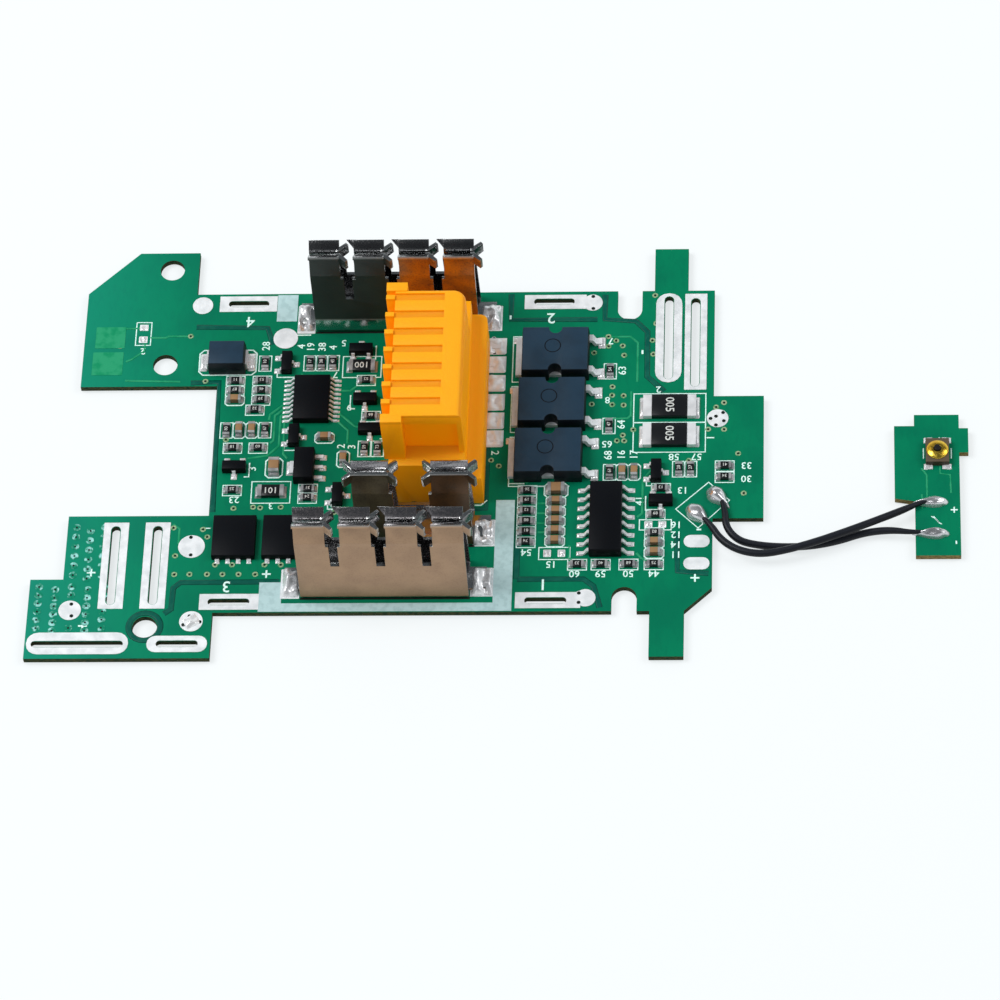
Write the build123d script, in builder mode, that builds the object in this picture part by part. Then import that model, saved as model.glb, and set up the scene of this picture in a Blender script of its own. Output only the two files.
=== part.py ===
from build123d import *

import os
from dataclasses import dataclass
from math import tan, radians

# Battery management board for a slide-on tool battery: a printed circuit board that lies
# across ten cells, with three folded spring clips for the tool's blades, a signal
# connector, power transistors and chips, and a small switch board on two short leads.
# Millimetres. +X runs along the pack, +Y to the rear edge, +Z up from the solder side.
# The origin is the middle of the whole assembly, on the surface that both boards lie on.

# Boards
BOARD_THICKNESS = 0.8
BOARDS_GAP = 15.65

# What stands across the main board, from its front edge to its rear edge
CLIP_DEPTH = 5.4
FRONT_CLIP_INSET = 1.83
CLIP_TO_CLIP_GAP = 1.9
CLIP_TO_CONNECTOR_GAP = 0.75
CONNECTOR_LENGTH = 23.8
CONNECTOR_TO_CLIP_GAP = 1.2
REAR_CLIP_INSET = 0.52
MAIN_WIDTH = (
    FRONT_CLIP_INSET
    + CLIP_DEPTH
    + CLIP_TO_CLIP_GAP
    + CLIP_DEPTH
    + CLIP_TO_CONNECTOR_GAP
    + CONNECTOR_LENGTH
    + CONNECTOR_TO_CLIP_GAP
    + CLIP_DEPTH
    + REAR_CLIP_INSET
)

# Main board outline, from the middle of its own length and width
MAIN_LENGTH = 87.3
EDGE_Y = MAIN_WIDTH / 2
TAB_REACH = 6.3
TAB_Y = EDGE_Y + TAB_REACH
FRONT_BLOCK_LEFT = -MAIN_LENGTH / 2
FRONT_BLOCK_STEP = 3.95
FRONT_BLOCK_WIDTH = 22.1
FRONT_BLOCK_STEP_HEIGHT = 11.05
EAR_LEFT = FRONT_BLOCK_LEFT + FRONT_BLOCK_STEP
EAR_WIDTH = 13.5
EAR_CHAMFER = 6.1
LEFT_NOTCH_HEIGHT = 18.8
LEFT_NOTCH_DEPTH = 16.9
RIGHT_BLOCK_WIDTH = 6.05
RIGHT_BLOCK_FRONT = -10.15
RIGHT_BLOCK_REAR = 7.45
RIGHT_EDGE = MAIN_LENGTH / 2 - RIGHT_BLOCK_WIDTH
FRONT_RIGHT_CHAMFER = 3.2
TAB_WIDTH = 4.1
TAB_INSET = 3.25
TAB_RIGHT = RIGHT_EDGE - TAB_INSET
END_NOTCH_WIDTH = 3.0
END_NOTCH_TO_TAB = 1.5
END_NOTCH_X = TAB_RIGHT - TAB_WIDTH - END_NOTCH_TO_TAB - END_NOTCH_WIDTH / 2
FRONT_NOTCH_DEPTH = 3.35
REAR_NOTCH_DEPTH = 4.25

# Mounting holes and the milled slots that the cell strips are soldered into
HOLE_RADIUS = 1.5
HOLE_INSET = 10.2
REAR_HOLE_INSET = 2.6
MIDDLE_HOLE_INSET = 3.2
FRONT_HOLE_INSET = 4.3
HOLE_X = EAR_LEFT + HOLE_INSET
REAR_HOLE_Y = TAB_Y - REAR_HOLE_INSET
MIDDLE_HOLE_Y = LEFT_NOTCH_HEIGHT / 2 + MIDDLE_HOLE_INSET
FRONT_HOLE_Y = -TAB_Y + FRONT_HOLE_INSET
STRIP_SLOT_LENGTH = 5.0
STRIP_SLOT_WIDTH = 0.8
STRIP_SLOT_INSET = 1.5
LEFT_STRIP_INSET = 3.1
RIGHT_STRIP_INSET = 19.65
LEFT_STRIP_X = EAR_LEFT + LEFT_NOTCH_DEPTH + LEFT_STRIP_INSET
RIGHT_STRIP_X = RIGHT_EDGE - RIGHT_STRIP_INSET
MAIN_SLOT_WIDTH = 1.05
EAR_SLOT_LENGTH = 11.0
EAR_SLOT_INSET = 9.8
EAR_SLOT_PITCH = 5.05
EAR_SLOT_Y = -16.4
LONG_FOOT_SLOT_LENGTH = 11.0
LONG_FOOT_SLOT_INSET = 6.25
SHORT_FOOT_SLOT_LENGTH = 5.0
SHORT_FOOT_SLOT_INSET = 18.15
FOOT_SLOT_INSET = 2.0
INNER_NEGATIVE_SLOT_LENGTH = 12.2
INNER_NEGATIVE_SLOT_INSET = 5.55
INNER_NEGATIVE_SLOT_Y = 16.1
OUTER_NEGATIVE_SLOT_LENGTH = 13.0
OUTER_NEGATIVE_SLOT_INSET = 2.3
OUTER_NEGATIVE_SLOT_Y = 15.4

# Switch board, from the middle of its own box
SWITCH_WIDTH = 8.85
SWITCH_HEIGHT = 20.05
SWITCH_Y = -5.52
SWITCH_STEM_WIDTH = 5.35
SWITCH_EAR_WIDTH = 1.1
SWITCH_EAR_DROP = 1.95
SWITCH_EAR_HEIGHT = 3.5
SWITCH_SHOULDER_DROP = 1.6
SWITCH_SHOULDER_HEIGHT = 10.4
SWITCH_SHOULDER_SLANT = 0.4

# Folded spring clips of plated sheet
SHEET = 0.4
POWER_CLIP_LENGTH = 20.0
POWER_CLIP_LEFT = -11.1
POWER_FINGERS = 4
CHARGE_CLIP_LEFT = -4.6
CHARGE_FINGER_WIDTH = 4.4
CHARGE_FINGER_GAP = 5.0
POWER_PINCH_HEIGHT = 12.7
POWER_LIP_RISE = 0.9
POWER_LIP_REACH = 1.05
CHARGE_PINCH_HEIGHT = 12.2
CHARGE_LIP_RISE = 0.82
CHARGE_LIP_REACH = 0.6
KNEE_DROP = 2.3
KNEE_HALF_DEPTH = 1.6
PINCH_GAP = 0.16
CLIP_BEND_RADIUS = 0.6
LIP_BEND_RADIUS = 0.4
SLIT_WIDTH = 1.05
POWER_SLIT_BOTTOM = 6.2
CHARGE_SLIT_BOTTOM = 1.8
FINGER_GAP = 1.75
FINGER_GAP_BOTTOM = 9.8
WING_REACH = 1.5
WING_HEIGHT = 1.6
WING_DROP = 1.15
WING_ANGLE = 45
DOG_EAR = 0.9
DOG_EAR_ROOT = 0.2
LUG_LENGTH = 2.0
LUG_WIDTH = 3.0

# Signal connector
CONNECTOR_LEFT = -0.65
BASE_WIDTH = 9.9
BASE_HEIGHT = 8.25
LEDGE_WIDTH = 1.0
LEDGE_HEIGHT = 5.4
TOWER_HEIGHT = 7.85
TOWER_LEFT_SETBACK = 0.65
TOWER_RIGHT_SETBACK = 0.85
TOWER_FRONT_SETBACK = 1.85
TOWER_REAR_SETBACK = 3.65
TOWER_LENGTH = CONNECTOR_LENGTH - TOWER_FRONT_SETBACK - TOWER_REAR_SETBACK
TOWER_CORNER_RADIUS = 1.5
TOWER_EDGE_RADIUS = 0.7
LEDGE_CORNER_RADIUS = 0.9
TOWER_EAR_WIDTH = 2.5
TOWER_EAR_REACH = 0.9
TOWER_EAR_OVERLAP = 0.3
RIB_REACH = 1.1
RIB_THICKNESS = 0.6
RIB_PITCH = 2.5
FIRST_RIB_INSET = 2.1
RIB_COUNT = int((TOWER_LENGTH - FIRST_RIB_INSET) / RIB_PITCH) + 1
GROOVE_DEPTH = 0.25
GROOVE_WIDTH = 0.4
GROOVE_LENGTH = 5.9
FRONT_RECESS_DEPTH = 1.0
FRONT_RECESS_HEIGHT = 6.0
FRONT_RECESS_WALL = 0.65
DRAIN_RADIUS = 0.5
CONTACT_COUNT = 6
CONTACT_PITCH = 2.72
CONTACT_REAR_INSET = 0.95
CONTACT_WIDTH = 0.9
CONTACT_THICKNESS = 0.25
CONTACT_HEIGHT = 6.5
CONTACT_INSET = 3.0
CONTACT_TAIL = 1.4
CONTACT_CLEARANCE = 0.06

# Power transistors
TRANSISTOR_COUNT = 3
TRANSISTOR_X = 18.35
TRANSISTOR_Y = 13.1
TRANSISTOR_PITCH = 7.37
TRANSISTOR_DRIFT = 0.27
TRANSISTOR_LENGTH = 8.2
TRANSISTOR_WIDTH = 6.5
TRANSISTOR_HEIGHT = 2.3
TRANSISTOR_SHOULDER = 1.2
TRANSISTOR_NOTCH = 1.6
TRANSISTOR_NOTCH_DEPTH = 1.0
TRANSISTOR_TAB_WIDTH = 5.4
TRANSISTOR_TAB_THICKNESS = 0.5
TRANSISTOR_TAB_REACH = 0.75
TRANSISTOR_TAB_INSET = 5.75
TRANSISTOR_LEAD_PITCH = 4.57
BODY_DRAFT = 6
SHOULDER_SHARE = 0.6

# Flat transistors, both beside the left strip slots
FLAT_COUNT = 2
FLAT_X = -19.5
FLAT_PITCH = 6.0
FLAT_TO_CLIP_GAP = 0.17
FLAT_LENGTH = 5.2
FLAT_WIDTH = 5.8
FLAT_HEIGHT = 1.0
FLAT_PIN_PITCH = 1.27
FLAT_PIN_WIDTH = 0.5
FLAT_PIN_REACH = 0.25
FLAT_PIN_HEIGHT = 0.25

# Chips with rows of gull-wing pins
CONTROLLER_X = -11.2
CONTROLLER_Y = 7.1
CONTROLLER_LENGTH = 6.5
CONTROLLER_WIDTH = 4.4
CONTROLLER_HEIGHT = 1.1
CONTROLLER_PINS = 10
CONTROLLER_PITCH = 0.65
BALANCE_X = 24.9
BALANCE_Y = -10.6
BALANCE_LENGTH = 9.9
BALANCE_WIDTH = 3.9
BALANCE_HEIGHT = 1.6
BALANCE_PINS = 8
BALANCE_PITCH = 1.27

# Protection diode
DIODE_X = -21.8
DIODE_Y = 12.9
DIODE_LENGTH = 4.5
DIODE_WIDTH = 3.6
DIODE_HEIGHT = 2.3
DIODE_STRIP_WIDTH = 2.1
DIODE_STRIP_THICKNESS = 0.25
DIODE_STRIP_HEIGHT = 1.2
DIODE_FOOT = 0.7

# Current-sense shunts
SHUNT_COUNT = 2
SHUNT_X = 32.3
SHUNT_Y = 5.75
SHUNT_PITCH = 4.15
SHUNT_BODY_LENGTH = 4.3
SHUNT_WIDTH = 3.1
SHUNT_HEIGHT = 0.75
SHUNT_END_LENGTH = 1.05
SHUNT_END_HEIGHT = 0.65

# Voltage regulator
REGULATOR_X = -11.6
REGULATOR_Y = -2.7
REGULATOR_TURN = 90
REGULATOR_LENGTH = 4.5
REGULATOR_WIDTH = 2.5
REGULATOR_HEIGHT = 1.5
REGULATOR_PIN_PITCH = 1.5
REGULATOR_PIN_WIDTH = 0.45
REGULATOR_PIN_THICKNESS = 0.4
REGULATOR_PIN_REACH = 1.0
REGULATOR_TAB_WIDTH = 1.7
REGULATOR_TAB_REACH = 0.55

# Small three-pin transistors and diodes
SMALL_LENGTH = 2.9
SMALL_WIDTH = 1.3
SMALL_HEIGHT = 1.05
SMALL_PIN_SPREAD = 1.9
SMALL_PLACES = (
    (-14.5, 12.5, 90),
    (-5.5, 14.4, 180),
    (-4.7, 7.1, 0),
    (-3.9, 2.7, 0),
    (-13.1, 1.8, 90),
    (-20.1, -2.7, 0),
    (-7.4, -6.7, 90),
    (30.8, -3.6, 90),
    (31.4, -7.8, 0),
)


@dataclass(frozen=True)
class Pin:
    """A gull-wing pin: how far it reaches from the body, its foot, thickness and width."""

    reach: float
    foot: float
    thickness: float
    width: float


TRANSISTOR_PIN = Pin(1.5, 0.7, 0.45, 0.85)
CONTROLLER_PIN = Pin(1.0, 0.5, 0.15, 0.26)
BALANCE_PIN = Pin(1.15, 0.5, 0.2, 0.42)
SMALL_PIN = Pin(0.55, 0.3, 0.15, 0.4)


@dataclass(frozen=True)
class Chip:
    """A two-ended chip: its length, width and height, and how long each metal end is."""

    length: float
    width: float
    height: float
    end: float


RESISTOR = Chip(1.6, 0.85, 0.45, 0.3)
LARGE_RESISTOR = Chip(3.2, 1.6, 0.55, 0.5)
CAPACITOR = Chip(1.6, 0.8, 0.8, 0.32)
LARGE_CAPACITOR = Chip(2.0, 1.25, 0.95, 0.4)

# Where the chips sit on the main board: x, y and turn
CONTROLLER_RESISTORS = (
    (-17.2, 12.7, 90),
    (-11.7, 12.7, 90),
    (-10.3, 12.7, 90),
    (-8.9, 12.7, 90),
    (-4.7, 10.1, 0),
    (-3.9, 4.8, 0),
    (-4.5, 0.1, 90),
    (-2.9, 0.1, 90),
    (-11.05, -5.7, 0),
    (-11.05, -6.95, 0),
)
BALANCE_RESISTORS = (
    (-20.7, 10.1, 0),
    (-17.45, 10.1, 0),
    (-20.7, 8.7, 0),
    (-17.45, 8.7, 0),
    (-17.45, 7.3, 0),
    (-18.1, 5.85, 0),
    (-21.4, 2.9, 90),
    (-16.7, 2.9, 90),
    (-20.5, 0.3, 0),
    (-17.4, 0.3, 0),
    (-20.2, -5.8, 0),
)
COLUMN_X = 15.4
COLUMN_TOP = -6.1
COLUMN_PITCH = 1.46
COLUMN_COUNT = 6
ROW_Y = -16.6
ROW_XS = (21.6, 24.4, 27.7, 30.7)
SENSE_RESISTORS = (
    tuple((COLUMN_X, COLUMN_TOP - i * COLUMN_PITCH, 0) for i in range(COLUMN_COUNT))
    + tuple((x, ROW_Y, 0) for x in ROW_XS)
    + (
        (25.0, 11.2, 90),
        (25.0, 3.2, 90),
        (25.2, -3.5, 90),
        (33.5, -3.1, 90),
        (34.9, -3.1, 90),
        (39.0, -2.7, 0),
        (39.0, -4.3, 0),
        (31.4, -5.9, 0),
        (30.8, -9.6, 0),
        (30.7, -12.2, 0),
    )
)
LARGE_RESISTORS = ((-5.3, 12.1, 0), (-15.5, -6.1, 0))
CONTROLLER_CAPACITORS = (
    (-20.65, 7.3, 0),
    (-19.85, 2.9, 90),
    (-18.3, 2.9, 90),
    (-9.4, 1.7, 0),
    (-7.0, -1.4, 90),
)
CAPACITOR_COLUMN_X = 18.85
CAPACITOR_COLUMN_TOP = -7.7
CAPACITOR_COLUMN_PITCH = 1.4
CAPACITOR_COLUMN_COUNT = 5
FILTER_CAPACITORS = tuple(
    (CAPACITOR_COLUMN_X, CAPACITOR_COLUMN_TOP - i * CAPACITOR_COLUMN_PITCH, 0)
    for i in range(CAPACITOR_COLUMN_COUNT)
) + (
    (26.7, -3.5, 90),
    (28.15, -3.5, 90),
    (30.7, -13.6, 0),
    (30.7, -15.0, 0),
)
LARGE_CAPACITORS = ((-15.3, -2.6, 90), (18.85, -6.05, 0))

# Push switch on the switch board
BUTTON_X = 0.7
BUTTON_Y = 4.4
BUTTON_BASE_WIDTH = 2.8
BUTTON_BASE_DEPTH = 3.4
BUTTON_BASE_HEIGHT = 0.9
BUTTON_POCKET_RADIUS = 1.15
BUTTON_POCKET_FLOOR = 0.2
COVER_RADIUS = 1.32
COVER_THICKNESS = 0.1
COVER_RISE = 0.4
COVER_SHOULDER_RADIUS = 1.0
COVER_SHOULDER_DROP = 0.12
PLUNGER_RADIUS = 0.42
PLUNGER_CLEARANCE = 0.05
PLUNGER_HEIGHT = 1.5
PLUNGER_FLANGE = 0.3
PLUNGER_FLANGE_THICKNESS = 0.2
PLUNGER_TRAVEL = 0.2
DOME_RADIUS = 1.05
DOME_RISE = 0.27
DOME_THICKNESS = 0.06
BUTTON_LEG_WIDTH = 0.55
BUTTON_LEG_REACH = 0.55
BUTTON_LEG_THICKNESS = 0.15
BUTTON_LEG_SPREAD = 1.7

# Leads between the boards, and the solder joints at their ends
LEAD_DIAMETER = 0.9
LEAD_SIDES = 10
BEND_SHARE = 0.45
MAIN_JOINT_LENGTH = 3.0
MAIN_JOINT_WIDTH = 1.9
MAIN_JOINT_TURN = -45
MAIN_JOINTS = ((35.9, -9.6), (38.35, -7.3))
SWITCH_JOINT_LENGTH = 2.2
SWITCH_JOINT_WIDTH = 1.4
JOINT_HEIGHT = 0.95
JOINT_SHOULDER = 0.3
JOINT_DRAFT = 38
JOINT_CORNER_SHARE = 0.3
SWITCH_JOINTS = ((0.8, -2.5), (0.85, -6.95))
POSITIVE_LEAD_ROUTE = (
    (23.5, -9.5, 1.35),
    (25.1, -11.3, 1.4),
    (26.3, -13.5, 1.4),
    (28.4, -15.1, 1.45),
    (31.2, -15.75, 1.55),
    (34.3, -15.2, 1.7),
    (37.8, -14.1, 1.8),
    (41.3, -12.7, 1.8),
    (44.8, -11.1, 1.65),
    (48.0, -9.5, 1.4),
    (50.4, -8.2, 1.3),
    (52.4, -7.9, 1.3),
)
NEGATIVE_LEAD_ROUTE = (
    (26.2, -7.1, 1.35),
    (26.9, -9.3, 1.35),
    (26.9, -11.6, 1.3),
    (28.3, -13.4, 1.05),
    (30.4, -13.9, 0.75),
    (33.4, -14.1, 0.55),
    (36.8, -14.0, 0.5),
    (40.2, -13.3, 0.5),
    (43.3, -12.2, 0.65),
    (46.4, -12.0, 0.95),
    (49.4, -12.6, 1.25),
    (52.5, -12.45, 1.3),
)

# Planes that everything stands on
ASSEMBLY_LENGTH = MAIN_LENGTH + BOARDS_GAP + SWITCH_WIDTH
MAIN_X = -ASSEMBLY_LENGTH / 2 + MAIN_LENGTH / 2
SWITCH_X = ASSEMBLY_LENGTH / 2 - SWITCH_WIDTH / 2
MAIN_UNDERSIDE = Plane((MAIN_X, 0, 0))
MAIN_TOP = Plane((MAIN_X, 0, BOARD_THICKNESS))
SWITCH_UNDERSIDE = Plane((SWITCH_X, SWITCH_Y, 0))
SWITCH_TOP = Plane((SWITCH_X, SWITCH_Y, BOARD_THICKNESS))
STANDING = (Align.CENTER, Align.CENTER, Align.MIN)
FROM_CORNER = (Align.MIN, Align.MIN, Align.MIN)


def save(piece, name):
    """Label a finished piece and write it as the node of that name."""
    piece.label = name
    export_step(piece, f"parts/{name}.step")


def spots(places):
    """Locations on a board for a list of x, y and turn."""
    return [Location((x, y, 0), (0, 0, turn)) for x, y, turn in places]


# Boards


def main_board():
    """The main board: outline, end notches, mounting holes and milled slots."""
    ear_right = EAR_LEFT + EAR_WIDTH
    notch_top = LEFT_NOTCH_HEIGHT / 2
    notch_right = EAR_LEFT + LEFT_NOTCH_DEPTH
    step_y = -TAB_Y + FRONT_BLOCK_STEP_HEIGHT
    block_right = FRONT_BLOCK_LEFT + FRONT_BLOCK_WIDTH
    tab_left = TAB_RIGHT - TAB_WIDTH
    strip_y = EDGE_Y - STRIP_SLOT_INSET
    foot_y = -TAB_Y + FOOT_SLOT_INSET
    ear_slot_x = FRONT_BLOCK_LEFT + EAR_SLOT_INSET
    with BuildPart() as board:
        with BuildSketch(MAIN_UNDERSIDE):
            with BuildLine():
                Polyline(
                    (EAR_LEFT, TAB_Y - EAR_CHAMFER),
                    (EAR_LEFT + EAR_CHAMFER, TAB_Y),
                    (ear_right, TAB_Y),
                    (ear_right, EDGE_Y),
                    (tab_left, EDGE_Y),
                    (tab_left, TAB_Y),
                    (TAB_RIGHT, TAB_Y),
                    (TAB_RIGHT, EDGE_Y),
                    (RIGHT_EDGE, EDGE_Y),
                    (RIGHT_EDGE, RIGHT_BLOCK_REAR),
                    (MAIN_LENGTH / 2, RIGHT_BLOCK_REAR),
                    (MAIN_LENGTH / 2, RIGHT_BLOCK_FRONT),
                    (RIGHT_EDGE, RIGHT_BLOCK_FRONT),
                    (RIGHT_EDGE, -EDGE_Y + FRONT_RIGHT_CHAMFER),
                    (TAB_RIGHT, -EDGE_Y),
                    (TAB_RIGHT, -TAB_Y),
                    (tab_left, -TAB_Y),
                    (tab_left, -EDGE_Y),
                    (block_right, -EDGE_Y),
                    (block_right, -TAB_Y),
                    (FRONT_BLOCK_LEFT, -TAB_Y),
                    (FRONT_BLOCK_LEFT, step_y),
                    (EAR_LEFT, step_y),
                    (EAR_LEFT, -notch_top),
                    (notch_right, -notch_top),
                    (notch_right, notch_top),
                    (EAR_LEFT, notch_top),
                    close=True,
                )
            make_face()
            with Locations((END_NOTCH_X, EDGE_Y)):
                SlotOverall(2 * REAR_NOTCH_DEPTH, END_NOTCH_WIDTH, rotation=90, mode=Mode.SUBTRACT)
            with Locations((END_NOTCH_X, -EDGE_Y)):
                SlotOverall(2 * FRONT_NOTCH_DEPTH, END_NOTCH_WIDTH, rotation=90, mode=Mode.SUBTRACT)
            with Locations(*((HOLE_X, y) for y in (REAR_HOLE_Y, MIDDLE_HOLE_Y, FRONT_HOLE_Y))):
                Circle(HOLE_RADIUS, mode=Mode.SUBTRACT)
            with Locations(*((x, y) for x in (LEFT_STRIP_X, RIGHT_STRIP_X) for y in (strip_y, -strip_y))):
                SlotOverall(STRIP_SLOT_LENGTH, STRIP_SLOT_WIDTH, mode=Mode.SUBTRACT)
            with Locations((ear_slot_x, EAR_SLOT_Y), (ear_slot_x + EAR_SLOT_PITCH, EAR_SLOT_Y)):
                SlotOverall(EAR_SLOT_LENGTH, MAIN_SLOT_WIDTH, rotation=90, mode=Mode.SUBTRACT)
            with Locations((FRONT_BLOCK_LEFT + LONG_FOOT_SLOT_INSET, foot_y)):
                SlotOverall(LONG_FOOT_SLOT_LENGTH, STRIP_SLOT_WIDTH, mode=Mode.SUBTRACT)
            with Locations((FRONT_BLOCK_LEFT + SHORT_FOOT_SLOT_INSET, foot_y)):
                SlotOverall(SHORT_FOOT_SLOT_LENGTH, STRIP_SLOT_WIDTH, mode=Mode.SUBTRACT)
            with Locations((RIGHT_EDGE - INNER_NEGATIVE_SLOT_INSET, INNER_NEGATIVE_SLOT_Y)):
                SlotOverall(
                    INNER_NEGATIVE_SLOT_LENGTH, MAIN_SLOT_WIDTH, rotation=90, mode=Mode.SUBTRACT
                )
            with Locations((RIGHT_EDGE - OUTER_NEGATIVE_SLOT_INSET, OUTER_NEGATIVE_SLOT_Y)):
                SlotOverall(
                    OUTER_NEGATIVE_SLOT_LENGTH, MAIN_SLOT_WIDTH, rotation=90, mode=Mode.SUBTRACT
                )
        extrude(amount=BOARD_THICKNESS)
    return board.part


def switch_board():
    """The small board that carries the push switch."""
    left = -SWITCH_WIDTH / 2
    right = SWITCH_WIDTH / 2
    top = SWITCH_HEIGHT / 2
    stem_right = right - SWITCH_EAR_WIDTH
    stem_left = stem_right - SWITCH_STEM_WIDTH
    ear_top = top - SWITCH_EAR_DROP
    ear_bottom = ear_top - SWITCH_EAR_HEIGHT
    shoulder_top = top - SWITCH_SHOULDER_DROP
    shoulder_bottom = shoulder_top - SWITCH_SHOULDER_HEIGHT
    with BuildPart() as board:
        with BuildSketch(SWITCH_UNDERSIDE):
            with BuildLine():
                Polyline(
                    (stem_left, top),
                    (stem_right, top),
                    (stem_right, ear_top),
                    (right, ear_top),
                    (right, ear_bottom),
                    (stem_right, ear_bottom),
                    (stem_right, -top),
                    (stem_left, -top),
                    (stem_left, shoulder_bottom - SWITCH_SHOULDER_SLANT),
                    (left, shoulder_bottom),
                    (left, shoulder_top),
                    (stem_left, shoulder_top),
                    close=True,
                )
            make_face()
        extrude(amount=BOARD_THICKNESS)
    return board.part


# Spring clips


@dataclass(frozen=True)
class Fingers:
    """A clip's finger pairs: left and right of each, and the heights and reach that they have.

    wing_sides holds 1 for wings on the right of each pair, and -1 for wings on its left."""

    spans: list
    pinch_height: float
    lip_rise: float
    lip_reach: float
    slit_bottom: float
    wing_sides: tuple
    dog_ears: bool


def wing_outline(x, side, outward):
    """Corners of one wing seen from above: it starts at the pinch and turns away from it.

    side is 1 for the rear sheet and -1 for the front one, outward is 1 to the right."""
    inner = side * PINCH_GAP / 2
    outer = inner + side * SHEET
    along = Vector(outward, 0).rotate(Axis.Z, side * outward * WING_ANGLE)
    across = along.rotate(Axis.Z, side * outward * 90)
    root = Vector(x, inner)
    tip = root + along * WING_REACH
    heel = Vector(x - outward * SHEET, inner)
    back = Vector(x - outward * SHEET, outer)
    return [heel, root, tip, tip + across * SHEET, back]


def spring_clip(front_y, left, fingers):
    """A U-shaped spring clip: base with soldered lugs, slit walls, pinch and flared lips."""
    spans = fingers.spans
    length = spans[-1][1]
    base_plane = Plane((MAIN_X + left, front_y + CLIP_DEPTH / 2, BOARD_THICKNESS))
    side_plane = Plane(base_plane.origin, x_dir=(0, 1, 0), z_dir=(1, 0, 0))
    front_plane = Plane(base_plane.origin, x_dir=(1, 0, 0), z_dir=(0, -1, 0))
    foot = CLIP_DEPTH / 2
    pinch = PINCH_GAP / 2 + SHEET
    pinch_height = fingers.pinch_height
    knee_height = pinch_height - KNEE_DROP
    lip_height = pinch_height + fingers.lip_rise
    lip = pinch + fingers.lip_reach
    with BuildPart() as clip:
        with BuildSketch(side_plane):
            with BuildLine():
                FilletPolyline(
                    (-lip, lip_height),
                    (-pinch, pinch_height),
                    (-KNEE_HALF_DEPTH, knee_height),
                    (-foot, 0),
                    (foot, 0),
                    (KNEE_HALF_DEPTH, knee_height),
                    (pinch, pinch_height),
                    (lip, lip_height),
                    radius=[
                        LIP_BEND_RADIUS,
                        CLIP_BEND_RADIUS,
                        CLIP_BEND_RADIUS,
                        CLIP_BEND_RADIUS,
                        CLIP_BEND_RADIUS,
                        LIP_BEND_RADIUS,
                    ],
                )
                offset(amount=SHEET, side=Side.LEFT)
            make_face()
        extrude(amount=length)
        with BuildSketch(front_plane):
            for (_, gap_left), (gap_right, _) in zip(spans, spans[1:]):
                middle = (gap_left + gap_right) / 2
                slit_width = gap_right - gap_left - (FINGER_GAP - SLIT_WIDTH)
                with Locations((middle, fingers.slit_bottom)):
                    Rectangle(slit_width, lip_height, align=(Align.CENTER, Align.MIN))
                with Locations((middle, FINGER_GAP_BOTTOM)):
                    Rectangle(gap_right - gap_left, lip_height, align=(Align.CENTER, Align.MIN))
        extrude(amount=CLIP_DEPTH, both=True, mode=Mode.SUBTRACT)
        with BuildSketch(base_plane):
            with Locations((length / 2, 0)):
                Rectangle(length + 2 * LUG_LENGTH, LUG_WIDTH)
        extrude(amount=SHEET)
        with BuildSketch(base_plane.offset(pinch_height - WING_DROP)):
            for span in spans:
                for outward in fingers.wing_sides:
                    x = max(span) if outward > 0 else min(span)
                    for side in (1, -1):
                        Polygon(*wing_outline(x, side, outward), align=None)
        extrude(amount=WING_HEIGHT)
        if fingers.dog_ears:
            lip_run = Vector(0, fingers.lip_reach, fingers.lip_rise)
            for finger_left, _ in spans[1:]:
                root = Vector(finger_left, pinch, pinch_height)
                lip_plane = Plane(
                    base_plane.from_local_coords(root),
                    x_dir=(1, 0, 0),
                    z_dir=lip_run.cross(Vector(1, 0, 0)),
                )
                reach = lip_run.length * (1 if lip_plane.y_dir.Z > 0 else -1)
                with BuildSketch(lip_plane):
                    with BuildLine():
                        Polyline(
                            (DOG_EAR_ROOT, 0),
                            (DOG_EAR_ROOT, reach),
                            (-DOG_EAR, reach),
                            (0, reach * DOG_EAR_ROOT),
                            close=True,
                        )
                    make_face()
                extrude(amount=SHEET)
    return clip.part


def power_fingers():
    """The four finger pairs of a power clip, with wings on the right."""
    width = (POWER_CLIP_LENGTH - (POWER_FINGERS - 1) * FINGER_GAP) / POWER_FINGERS
    step = width + FINGER_GAP
    spans = [(i * step, i * step + width) for i in range(POWER_FINGERS)]
    return Fingers(
        spans,
        POWER_PINCH_HEIGHT,
        POWER_LIP_RISE,
        POWER_LIP_REACH,
        POWER_SLIT_BOTTOM,
        wing_sides=(1,),
        dog_ears=True,
    )


def charge_fingers():
    """The charge clip's two finger pairs, with wings on both sides."""
    second = CHARGE_FINGER_WIDTH + CHARGE_FINGER_GAP
    spans = [(0, CHARGE_FINGER_WIDTH), (second, second + CHARGE_FINGER_WIDTH)]
    return Fingers(
        spans,
        CHARGE_PINCH_HEIGHT,
        CHARGE_LIP_RISE,
        CHARGE_LIP_REACH,
        CHARGE_SLIT_BOTTOM,
        wing_sides=(1, -1),
        dog_ears=False,
    )


POSITIVE_CLIP_Y = -EDGE_Y + FRONT_CLIP_INSET
CHARGE_CLIP_Y = POSITIVE_CLIP_Y + CLIP_DEPTH + CLIP_TO_CLIP_GAP
CONNECTOR_Y = CHARGE_CLIP_Y + CLIP_DEPTH + CLIP_TO_CONNECTOR_GAP
NEGATIVE_CLIP_Y = CONNECTOR_Y + CONNECTOR_LENGTH + CONNECTOR_TO_CLIP_GAP


# Signal connector

CONNECTOR_BASE = Plane((MAIN_X + CONNECTOR_LEFT, CONNECTOR_Y, BOARD_THICKNESS))
LAST_CONTACT_Y = CONNECTOR_LENGTH - CONTACT_REAR_INSET
CONTACT_YS = [LAST_CONTACT_Y - i * CONTACT_PITCH for i in range(CONTACT_COUNT)]
RIB_YS = [TOWER_FRONT_SETBACK + FIRST_RIB_INSET + i * RIB_PITCH for i in range(RIB_COUNT)]


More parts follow.
